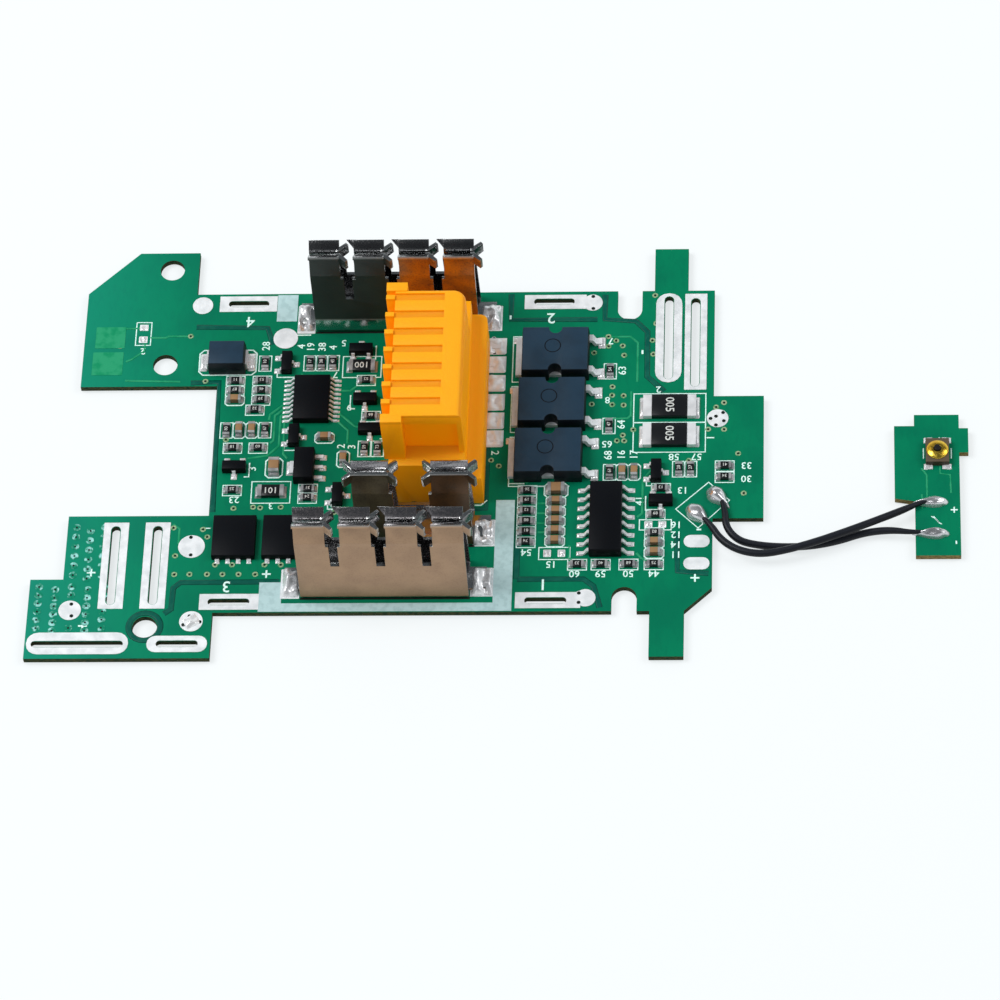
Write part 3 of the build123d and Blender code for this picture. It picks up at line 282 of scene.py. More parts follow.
@dataclass(frozen=True)
class Lacquer:
    """Green solder mask over copper, with the laminate's own colour on its cut edges and a painted bluish
    sheen towards the board's left end.
    """

    name: str = "green_lacquer"
    over_copper: Colour = (0.0, 0.178, 0.084)
    patch: Colour = (0.0, 0.125, 0.068)
    # The third colour is a painted sheen, blended in towards the board's left end.
    sheen_colour: Colour = (0.02, 0.36, 0.28)
    edge: Colour = (0.055, 0.055, 0.02)
    edge_dark: Colour = (0.006, 0.025, 0.012)
    roughness: float = 0.3
    sheen_starts: float = -0.03
    sheen_ends: float = -0.075
    shine: float = 0.08

    def make(self) -> bpy.types.Material:
        """Builds the lacquer's material."""
        r = Recipe(self.name)
        _, _, up = r.normal()
        across, _, _ = r.axes(r.place)
        cut = abs(up).step(0.7, 0.4)
        cloud = r.grain(9.0, 3).step(0.4, 0.68)
        weave = r.grain(0.5, 1, (1, 0.35, 1)).step(0.45, 0.75)
        face = r.blend(cloud * 0.6, self.over_copper, self.patch)
        face = r.blend(weave * 0.25, face, self.patch)
        # Painted sheen: a pale bluish reflection painted into the colour towards the board's left end.
        sheen = across.step(self.sheen_starts, self.sheen_ends)
        face = r.blend(sheen * 0.55, face, self.sheen_colour)
        wall = r.blend(r.grain(0.5, 2, (1, 1, 5)).step(0.4, 0.6), self.edge_dark, self.edge)
        colour = r.blend(cut, face, wall)
        rough = self.roughness + cut * 0.45 + r.grain(2.5, 2) * 0.08
        bump = r.relief(r.grain(0.45, 2), 0.01)
        return r.surface(
            Base_Color=colour, Roughness=rough, Specular_IOR_Level=self.shine, Normal=bump
        )


@dataclass(frozen=True)
class Film:
    """A thin painted or printed layer."""

    name: str
    colour: Colour
    second: Colour
    grain: float = 0.3
    roughness: float = 0.45
    metallic: float = 0.0
    shine: float = 0.2

    def make(self) -> bpy.types.Material:
        """Builds the layer's material."""
        r = Recipe(self.name)
        speck = r.grain(self.grain, 3).step(0.42, 0.66)
        colour = r.blend(speck, self.colour, self.second)
        rough = self.roughness + speck * 0.12
        bump = r.relief(r.grain(self.grain, 2), 0.006)
        return r.surface(
            Base_Color=colour,
            Roughness=rough,
            Metallic=self.metallic,
            Specular_IOR_Level=self.shine,
            Normal=bump,
        )


@dataclass(frozen=True)
class Metal:
    """Plated metal: bright sheet, satin pads, solder or gold."""

    name: str
    colour: Colour
    shade: Colour
    roughness: float
    grain: float = 0.6
    depth: float = 0.01
    ripple: float = 0.0
    metallic: float = 1.0

    def make(self) -> bpy.types.Material:
        """Builds the metal's material."""
        r = Recipe(self.name)
        cloud = r.grain(self.grain * 4, 3)
        fine = r.grain(self.grain, 3)
        colour = r.blend(cloud.step(0.35, 0.7), self.colour, self.shade)
        rough = self.roughness + fine.step(0.4, 0.75) * self.roughness * 0.8
        height = fine + r.grain(1.1, 2) * self.ripple
        bump = r.relief(height, self.depth)
        return r.surface(Base_Color=colour, Roughness=rough, Metallic=self.metallic, Normal=bump)


@dataclass(frozen=True)
class ClipSheet:
    """Tin-plated spring sheet: a painted reflection on the front wall, and painted shade and reflection
    on the faces inside the fold.
    """

    name: str
    node: str
    wall_from: float
    # The front wall's colours are a painted reflection of the board and housing: left half, right half
    # and a darker mottle.
    reflected_left: Colour
    reflected_right: Colour
    reflected_dim: Colour
    # The faces inside the fold take painted shade and reflection: flecked above the knee, the second
    # colour below it.
    inner: Colour
    inner_speck: Colour
    knee: float = 10.6
    colour: Colour = (0.5, 0.51, 0.51)
    shade: Colour = (0.42, 0.44, 0.44)

    def make(self) -> bpy.types.Material:
        """Builds the sheet's material."""
        r = Recipe(self.name)
        _, toward, _ = r.normal()
        across, depth, height = r.axes(r.place)
        low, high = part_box(self.node)
        middle = (low + high) / 2
        before = depth.step(middle.y, middle.y - 0.3 * MM)
        streak = r.grain(0.8, 2, (0.25, 1, 1)).step(0.35, 0.7)
        speck = r.grain(0.2, 2).step(0.5, 0.66)
        # Painted reflection: the front wall's colour stands in for the board and housing mirrored in it,
        # mottled darker, and the wall is made less metallic so that it shows.
        mottle = r.grain(2.5, 4).step(0.35, 0.7)
        colour = r.blend(streak, self.colour, self.shade)
        start = low.z + self.wall_from * MM
        side = across.step(middle.x - MM, middle.x + MM)
        above = height.step(start, start + 0.5 * MM).maths("MAXIMUM", side)
        wall = toward.step(-0.55, -0.85) * before * above
        tone = r.blend(side, self.reflected_left, self.reflected_right)
        tone = r.blend(mottle * 0.5 + speck * 0.3, tone, self.reflected_dim)
        colour = r.blend(wall, colour, tone)
        # Painted shade and reflection on the rear sheet's faces inside the fold.
        inside = (1 - before) * toward.step(-0.35, -0.6)
        flecked = height.step(low.z + (self.knee - 0.5) * MM, low.z + self.knee * MM)
        hollow = r.blend(flecked, self.inner_speck, r.blend(speck, self.inner, self.inner_speck))
        colour = r.blend(inside, colour, hollow)
        rough = 0.18 + streak * 0.05 + wall * 0.22 + inside * speck * 0.3
        metallic = 1 - wall * 0.75
        bump = r.relief(r.grain(0.25, 2), 0.003)
        return r.surface(Base_Color=colour, Roughness=rough, Metallic=metallic, Normal=bump)


@dataclass(frozen=True)
class Moulded:
    """Moulded plastic or compound: a fine grain, with painted light on the faces that look up, which are
    paler than the sides.
    """

    name: str
    colour: Colour
    top: Colour
    roughness: float
    grain: float = 0.18
    depth: float = 0.006
    coat: float = 0.0
    shine: float = 0.2

    def make(self) -> bpy.types.Material:
        """Builds the plastic's material."""
        r = Recipe(self.name)
        _, _, up = r.normal()
        cloud = r.grain(3.0, 3)
        fine = r.grain(self.grain, 2)
        # Painted light: faces that look up take the paler top colour, the sides the darker one.
        base = r.blend(up.step(0.55, 0.95), self.colour, self.top)
        colour = r.blend(cloud.step(0.4, 0.75) * 0.25, base, self.colour)
        rough = self.roughness + fine * 0.12
        bump = r.relief(fine + cloud * 0.5, self.depth)
        return r.surface(
            Base_Color=colour,
            Roughness=rough,
            Normal=bump,
            Specular_IOR_Level=self.shine,
            Coat_Weight=self.coat,
            Coat_Roughness=0.25,
        )


@dataclass(frozen=True)
class RibbedAmber:
    """Amber plastic that lets some light through, with a painted glow, deeper orange painted bounce light
    on its sides, and soft painted shade in the grooves of its top.
    """

    name: str = "amber_plastic"
    node: str = "connector_housing"
    side: Colour = (0.95, 0.34, 0.0)
    top: Colour = (0.86, 0.36, 0.006)
    groove: Colour = (0.62, 0.2, 0.0)
    # faint and glow are the colours of the painted glow.
    faint: Colour = (0.228, 0.082, 0.0)
    glow: Colour = (0.7, 0.2, 0.0)

    def make(self) -> bpy.types.Material:
        """Builds the housing's plastic."""
        r = Recipe(self.name)
        low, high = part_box(self.node)
        _, toward, up = r.normal()
        _, depth, height = r.axes(r.place)
        band = height.step(high.z - 0.6 * MM, high.z - 0.4 * MM)
        band = band * height.step(high.z - 0.06 * MM, high.z - 0.2 * MM)
        # The sides' deeper orange against the top is painted bounce light from inside the amber.
        base = r.blend(up.step(0.55, 0.95), self.side, self.top)
        base = r.blend(r.grain(3.0, 3).step(0.4, 0.75) * 0.2, base, self.side)
        colour = r.blend(band * 0.55, base, self.groove)
        fine = r.grain(0.3, 2)
        # Painted glow: the walls that face the front give off light of their own, strongest on the
        # recessed walls behind the front face and none on faces that look up or down.
        behind = depth.step(low.y + 2.2 * MM, low.y + 3.0 * MM) * toward.step(-0.4, -0.8)
        through = r.blend(behind, self.faint, self.glow)
        through = r.blend(abs(up).step(0.5, 0.8), through, (0.0, 0.0, 0.0))
        return r.surface(
            Base_Color=colour,
            Roughness=0.45 + fine * 0.12,
            Normal=r.relief(fine, 0.004),
            Specular_IOR_Level=0.15,
            Subsurface_Weight=0.1,
            Subsurface_Radius=self.side,
            Subsurface_Scale=MM,
            Emission_Color=through,
            Emission_Strength=0.25,
        )


class Finishes:
    """Every material of the scene, each made once."""

    def __init__(self) -> None:
        """Builds the materials."""
        self.lacquer = Lacquer().make()
        self.switch_lacquer = Lacquer(
            "switch_lacquer", edge=(0.26, 0.19, 0.07), edge_dark=(0.1, 0.08, 0.03)
        ).make()
        self.bare_gap = Film(
            "lacquer_over_laminate", (0.0, 0.085, 0.06), (0.0, 0.105, 0.068), 1.2, 0.3
        ).make()
        self.track = Film("lacquer_over_track", (0.02, 0.3, 0.14), (0.0, 0.24, 0.1), 1.2, 0.28).make()
        self.ink = Film("legend_ink", (0.74, 0.95, 0.9), (0.55, 0.8, 0.74), 0.22, 0.5).make()
        self.code = Film("code_ink", (0.62, 0.64, 0.62), (0.4, 0.42, 0.4), 0.15, 0.5).make()
        self.pad = Metal(
            "pad_tin", (0.84, 0.86, 0.88), (0.68, 0.71, 0.73), 0.42, 0.3, 0.02, 0.0, 0.25
        ).make()
        self.strip = Film("bare_strip", (0.48, 0.66, 0.67), (0.4, 0.57, 0.58), 0.8, 0.4, 0.1).make()
        self.solder = Metal(
            "solder", (0.86, 0.86, 0.87), (0.66, 0.66, 0.68), 0.22, 0.7, 0.02, 1.0, 0.45
        ).make()
        self.pin = Metal(
            "tinned_pin", (0.84, 0.85, 0.87), (0.68, 0.69, 0.71), 0.3, 0.4, 0.01, 0.0, 0.3
        ).make()
        self.joint = Metal(
            "joint_solder", (0.7, 0.7, 0.72), (0.5, 0.5, 0.52), 0.18, 0.9, 0.02, 0.6, 0.8
        ).make()
        self.chip_end = Metal(
            "chip_end", (0.5, 0.51, 0.52), (0.26, 0.27, 0.28), 0.3, 0.3, 0.02, 0.3, 0.5
        ).make()
        # The via centres are painted shade, standing in for their holes.
        self.hole = Film("via_hole_shade", (0.004, 0.012, 0.008), (0.002, 0.006, 0.004), 0.2, 0.6).make()
        self.ring = Film("via_ring", (0.4, 0.52, 0.32), (0.1, 0.3, 0.12), 0.25, 0.35, 0.3).make()
        # Its pale flecks are painted highlights on the lacquered vias.
        self.glint = Film("via_glint", (0.0, 0.2, 0.11), (0.3, 0.66, 0.62), 0.55, 0.3).make()
        # A near-black line that stands in for the shadow where each clip's front wall meets the board.
        self.foot_shadow = Film("painted_foot_shadow", (0.004, 0.006, 0.005), (0.01, 0.014, 0.01), 0.4, 0.6).make()
        # Front walls carry a painted reflection: tan on the positive clip, brown on the charge clip, dark
        # left and amber right on the negative. The last two colours of each are painted shade and
        # reflection inside the fold.
        sheets = (
            ClipSheet(
                "clip_tin_tan_reflection",
                "positive_clip",
                -1,
                (0.36, 0.225, 0.13),
                (0.36, 0.225, 0.13),
                (0.26, 0.155, 0.09),
                (0.3, 0.28, 0.29),
                (0.14, 0.13, 0.135),
            ),
            ClipSheet(
                "clip_tin_brown_reflection",
                "charge_clip",
                -1,
                (0.11, 0.085, 0.045),
                (0.1, 0.045, 0.014),
                (0.03, 0.018, 0.01),
                (0.6, 0.58, 0.6),
                (0.42, 0.4, 0.42),
            ),
            ClipSheet(
                "clip_tin_dark_amber_reflection",
                "negative_clip",
                2.2,
                (0.016, 0.028, 0.024),
                (0.47, 0.14, 0.004),
                (0.012, 0.018, 0.016),
                (0.14, 0.14, 0.145),
                (0.025, 0.025, 0.028),
            ),
        )
        self.sheets = {sheet.node: sheet.make() for sheet in sheets}
        self.housing = RibbedAmber().make()
        # Each moulding's second colour is its top, painted paler as the face that the light falls on.
        self.power_body = Moulded(
            "slate_compound", (0.003, 0.006, 0.01), (0.012, 0.036, 0.066), 0.42, 0.16, 0.012
        ).make()
        self.body = Moulded(
            "black_compound", (0.003, 0.003, 0.004), (0.003, 0.004, 0.006), 0.36, 0.14, 0.01, shine=0.09
        ).make()
        self.resistor = Moulded(
            "resistor_glaze", (0.005, 0.006, 0.008), (0.008, 0.009, 0.011), 0.25, 0.2, 0.004, 0.15
        ).make()
        self.capacitor = Moulded(
            "capacitor_ceramic", (0.15, 0.09, 0.045), (0.29, 0.17, 0.08), 0.4, 0.25, 0.01
        ).make()
        self.insulation = Moulded(
            "lead_insulation", (0.004, 0.005, 0.008), (0.012, 0.014, 0.02), 0.34, 0.5, 0.008
        ).make()
        self.gold = Metal("gold_plate", (0.85, 0.6, 0.08), (0.7, 0.42, 0.04), 0.24, 0.3, 0.006).make()
        self.button = Moulded(
            "button_plastic", (0.004, 0.004, 0.004), (0.01, 0.01, 0.01), 0.4, 0.2, 0.004
        ).make()
        self.casing = Moulded(
            "switch_casing", (0.05, 0.035, 0.02), (0.1, 0.075, 0.05), 0.4, 0.2, 0.004
        ).make()
        self.steel = Metal("spring_steel", (0.5, 0.5, 0.5), (0.36, 0.36, 0.36), 0.3).make()


# Modelling


def deselect() -> None:
    """Leaves nothing selected, in object mode."""
    if bpy.context.object and bpy.context.object.mode != "OBJECT":
        bpy.ops.object.mode_set(mode="OBJECT")
    bpy.ops.object.select_all(action="DESELECT")


def take(piece: bpy.types.Object) -> None:
    """Makes a piece the only selected and the active one."""
    deselect()
    piece.select_set(True)
    bpy.context.view_layer.objects.active = piece


def dress(
    piece: bpy.types.Object, name: str, finish: bpy.types.Material | None, body: str = BOARDS
) -> bpy.types.Object:
    """Names a finished piece, gives it its material, and lets it ride on a body.

    Args:
        piece: the finished object.
        name: its name.
        finish: its material, or None to keep those it has.
        body: the body that it moves with.

    Returns:
        The same object.
    """
    piece.name = name
    piece.data.name = name
    if finish is not None:
        piece.data.materials.clear()
        piece.data.materials.append(finish)
    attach(piece, body)
    log.info("%s: %d faces", name, len(getattr(piece.data, "polygons", [])))
    return piece


def paint(node: str, finish: bpy.types.Material) -> None:
    """Gives a carried-over CAD node its material."""
    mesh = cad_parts[node].data
    mesh.materials.clear()
    mesh.materials.append(finish)


def joined(parts: list[bpy.types.Object]) -> bpy.types.Object:
    """Joins mesh objects into the first one."""
    deselect()
    for part in parts:
        part.select_set(True)
    bpy.context.view_layer.objects.active = parts[0]
    if len(parts) > 1:
        bpy.ops.object.join()
    return bpy.context.object


def scattered(template: bpy.types.Object, places: Iterable[Matrix]) -> bpy.types.Object:
    """Copies a template, each copy with its own mesh, to every place, and joins the copies.

    Args:
        template: the modelled piece, which is removed afterwards.
        places: a matrix for each copy.

    Returns:
        The joined copies, at the origin.
    """
    copies = []
    for place in places:
        mesh = template.data.copy()
        mesh.transform(place)
        copy = bpy.data.objects.new("copy", mesh)
        bpy.context.scene.collection.objects.link(copy)
        copies.append(copy)
    bpy.data.objects.remove(template)
    return joined(copies)


def put(spot: Vector, turn: float = 0.0, size: Sequence[float] = (1, 1, 1)) -> Matrix:
    """A placing matrix.

    Args:
        spot: where the copy goes, in metres.
        turn: its turn about +Z, in degrees.
        size: its scale on each axis.

    Returns:
        The matrix.
    """
    return Matrix.LocRotScale(spot, Matrix.Rotation(math.radians(turn), 3, "Z"), Vector(size))


def plate(low: Vector, high: Vector, radius: float) -> bpy.types.Object:
    """A thin plate with rounded corners, filling the box from low to high.

    Args:
        low: lowest corner, in metres.
        high: highest corner, in metres.
        radius: corner radius, in metres.

    Returns:
        The plate, at the origin.
    """
    deselect()
    middle = (low + high) / 2
    bpy.ops.mesh.primitive_plane_add(size=1, location=(middle.x, middle.y, low.z))
    made = bpy.context.object
    made.scale = (high.x - low.x, high.y - low.y, 1)
    bpy.ops.object.transform_apply(location=True, rotation=True, scale=True)
    bpy.ops.object.mode_set(mode="EDIT")
    if radius > 0:
        bpy.ops.mesh.bevel(offset=radius, segments=4, affect="VERTICES")
    rise = {"value": (0, 0, high.z - low.z)}
    bpy.ops.mesh.extrude_region_move(TRANSFORM_OT_translate=rise)
    bpy.ops.mesh.select_all(action="SELECT")
    bpy.ops.mesh.normals_make_consistent(inside=False)
    bpy.ops.object.mode_set(mode="OBJECT")
    return made


def pillow(height: float, seed: float, wrinkle: float = 0.3, squareness: float = 4.0) -> bpy.types.Object:
    """A lump of solder on a unit square, to be scaled to its pad.

    Args:
        height: its height, in metres.
        seed: picks the lump's shape.
        wrinkle: how uneven its top is.
        squareness: 2 for a round dome, more for a filled square.

    Returns:
        The closed lump, centred on the origin with its flat side down.
    """
    deselect()
    bpy.ops.mesh.primitive_grid_add(x_subdivisions=12, y_subdivisions=12, size=1)
    made = bpy.context.object
    for vertex in made.data.vertices:
        u = vertex.co.x * 2
        w = vertex.co.y * 2
        fall = max(0.0, 1 - abs(u) ** squareness) * max(0.0, 1 - abs(w) ** squareness)
        lump = noise.noise(Vector((u * 1.4 + seed, w * 1.4 - seed, seed)))
        vertex.co.z = height * fall**0.5 * (0.8 + wrinkle * lump)
        if squareness < 3:
            shrink = 1 - 0.3 * min(abs(u), abs(w)) ** 2
            vertex.co.x *= shrink
            vertex.co.y *= shrink
    bpy.ops.object.mode_set(mode="EDIT")
    bpy.ops.mesh.select_all(action="DESELECT")
    bpy.ops.mesh.select_mode(type="EDGE")
    bpy.ops.mesh.select_non_manifold()
    bpy.ops.mesh.edge_face_add()
    bpy.ops.mesh.select_mode(type="VERT")
    bpy.ops.mesh.select_all(action="SELECT")
    bpy.ops.mesh.normals_make_consistent(inside=False)
    bpy.ops.object.mode_set(mode="OBJECT")
    take(made)
    bpy.ops.object.shade_smooth_by_angle(angle=math.radians(50))
    return made


def carve(piece: bpy.types.Object, cutter: bpy.types.Object) -> None:
    """Cuts one mesh out of a piece.

    Args:
        piece: the piece that is cut.
        cutter: the closed mesh to take away, which is removed afterwards.
    """
    cut = piece.modifiers.new("cut", "BOOLEAN")
    cut.operation = "DIFFERENCE"
    cut.solver = "EXACT"
    cut.use_self = True
    cut.object = cutter
    take(piece)
    bpy.ops.object.modifier_apply(modifier=cut.name)
    bpy.data.objects.remove(cutter)


def softened(
    nodes: Sequence[str], width: float, cutter: bpy.types.Object | None = None
) -> bpy.types.Object:
    """A copy of CAD nodes whose sharp edges are rounded, which then stands for them.

    Args:
        nodes: the CAD nodes.
        width: the rounding's width, in millimetres.
        cutter: a closed mesh that is cut out of the copy first, if there is one.

    Returns:
        The copy, which replaces the nodes.
    """
    copies = []
    for node in nodes:
        copy = bpy.data.objects.new("copy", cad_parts[node].data.copy())
        bpy.context.scene.collection.objects.link(copy)
        copies.append(copy)
    made = joined(copies)
    cage = bmesh.new()
    cage.from_mesh(made.data)
    bmesh.ops.remove_doubles(cage, verts=cage.verts, dist=0.002 * MM)
    bmesh.ops.dissolve_limit(
        cage, angle_limit=math.radians(0.6), verts=cage.verts, edges=cage.edges
    )
    cage.to_mesh(made.data)
    cage.free()
    if cutter is not None:
        carve(made, cutter)
    bevel = made.modifiers.new("rounded", "BEVEL")
    bevel.width = width * MM
    bevel.segments = 2
    bevel.limit_method = "ANGLE"
    bevel.angle_limit = math.radians(35)
    bevel.use_clamp_overlap = True
    take(made)
    bpy.ops.object.modifier_apply(modifier=bevel.name)
    bpy.ops.object.shade_smooth_by_angle(angle=math.radians(35))
    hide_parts(*nodes)
    return made


def on_top(low: Vector, high: Vector) -> Vector:
    """The middle of a box's top face."""
    return Vector(((low.x + high.x) / 2, (low.y + high.y) / 2, high.z))


def loose_parts(node: str) -> list[tuple[Vector, Vector]]:
    """The boxes of a CAD node's separate solids.

    Args:
        node: the CAD node.

    Returns:
        Lowest and highest corner of each solid, in metres.
    """
    cage = bmesh.new()
    cage.from_mesh(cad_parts[node].data)
    bmesh.ops.remove_doubles(cage, verts=cage.verts, dist=0.001 * MM)
    unseen = set(cage.verts)
    boxes = []
    while unseen:
        stack = [unseen.pop()]
        low = stack[0].co.copy()
        high = stack[0].co.copy()
        while stack:
            vertex = stack.pop()
            low = Vector(map(min, low, vertex.co))
            high = Vector(map(max, high, vertex.co))
            for edge in vertex.link_edges:
                other = edge.other_vert(vertex)
                if other in unseen:
                    unseen.discard(other)
                    stack.append(other)
        boxes.append((low, high))
    cage.free()
    return sorted(boxes, key=lambda box: tuple(round(c, 5) for c in box[0]))


@dataclass(frozen=True)
class Ground:
    """One board's own frame: millimetres from its middle, with z from its top face."""

    centre_x: float
    centre_y: float
    top: float

    @classmethod
    def of(cls, node: str) -> "Ground":
        """Reads a board's frame from its CAD node."""
        low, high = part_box(node)
        return cls((low.x + high.x) / 2, (low.y + high.y) / 2, high.z)

    def at(self, x: float, y: float, z: float = 0.0) -> Vector:
        """A point on the board, in metres in the row frame."""
        return Vector((self.centre_x + x * MM, self.centre_y + y * MM, self.top + z * MM))

    def place(self, point: Vector) -> Point:
        """The x and y of a point of the row frame, in millimetres on the board."""
        return (point.x - self.centre_x) / MM, (point.y - self.centre_y) / MM


@dataclass
class Linework:
    """Flat lines laid on a board, gathered and then made into one piece."""

    ground: Ground
    width: float
    height: float
    lines: list[tuple[list[Vector], bool]] = field(default_factory=list)

    def line(self, points: Sequence[Point], closed: bool = False) -> None:
        """Adds a run of straight lines through points on the board."""
        self.lines.append(([self.ground.at(x, y) for x, y in points], closed))

    def box(self, x0: float, y0: float, x1: float, y1: float, cut: float = 0.0) -> None:
        """Adds a rectangle, with its corners cut off by that much."""
        if cut:
            points = [
                (x0 + cut, y0),
                (x1 - cut, y0),
                (x1, y0 + cut),
                (x1, y1 - cut),
                (x1 - cut, y1),
                (x0 + cut, y1),
                (x0, y1 - cut),
                (x0, y0 + cut),
            ]
        else:
            points = [(x0, y0), (x1, y0), (x1, y1), (x0, y1)]
        self.line(points, True)

    def around(self, low: Vector, high: Vector, margin: float, cut: float = 0.0) -> None:
        """Adds a rectangle around a box given in metres."""
        x0, y0 = self.ground.place(low)
        x1, y1 = self.ground.place(high)
        self.box(x0 - margin, y0 - margin, x1 + margin, y1 + margin, cut)

    def build(self) -> bpy.types.Object:
        """Draws the lines as flattened tubes on the board's face."""
        data = bpy.data.curves.new("lines", "CURVE")
        data.dimensions = "3D"
        data.bevel_depth = self.width * MM / 2
        data.bevel_resolution = 1
        data.use_fill_caps = True
        for points, closed in self.lines:
            spline = data.splines.new("POLY")
            spline.points.add(len(points) - 1)
            for target, point in zip(spline.points, points):
                target.co = (*point, 1)
            spline.use_cyclic_u = closed
        made = bpy.data.objects.new("lines", data)
        bpy.context.scene.collection.objects.link(made)
        take(made)
        bpy.ops.object.convert(target="MESH")
        made = bpy.context.object
        bpy.ops.object.mode_set(mode="EDIT")
        bpy.ops.mesh.select_all(action="SELECT")
        bpy.ops.transform.resize(
            value=(1, 1, 2 * self.height / self.width), center_override=(0, 0, self.ground.top)
        )
        bpy.ops.object.mode_set(mode="OBJECT")
        return made


def number(text: str, spot: Vector, turn: float, size: float, raise_by: float) -> bpy.types.Object:
    """A plain numeral or sign as a thin raised mesh.

    Args:
        text: the numeral or sign.
        spot: its middle, in metres.
        turn: its turn about +Z, in degrees.
        size: the height of its line, in millimetres.
        raise_by: how far it stands up, in millimetres.

    Returns:
        The mesh, at the origin.
    """
    deselect()
    bpy.ops.object.text_add(location=spot, rotation=(0, 0, math.radians(turn)))
    made = bpy.context.object
    made.data.body = text
    made.data.size = size * 1.4 * MM
    made.data.align_x = "CENTER"
    made.data.align_y = "CENTER"
    made.data.extrude = raise_by * MM
    made.data.offset = size * 0.012 * MM
    made.data.resolution_u = 2
    bpy.ops.object.convert(target="MESH")
    made = bpy.context.object
    bpy.ops.object.transform_apply(location=True, rotation=True, scale=True)
    return made


# The board's own surface


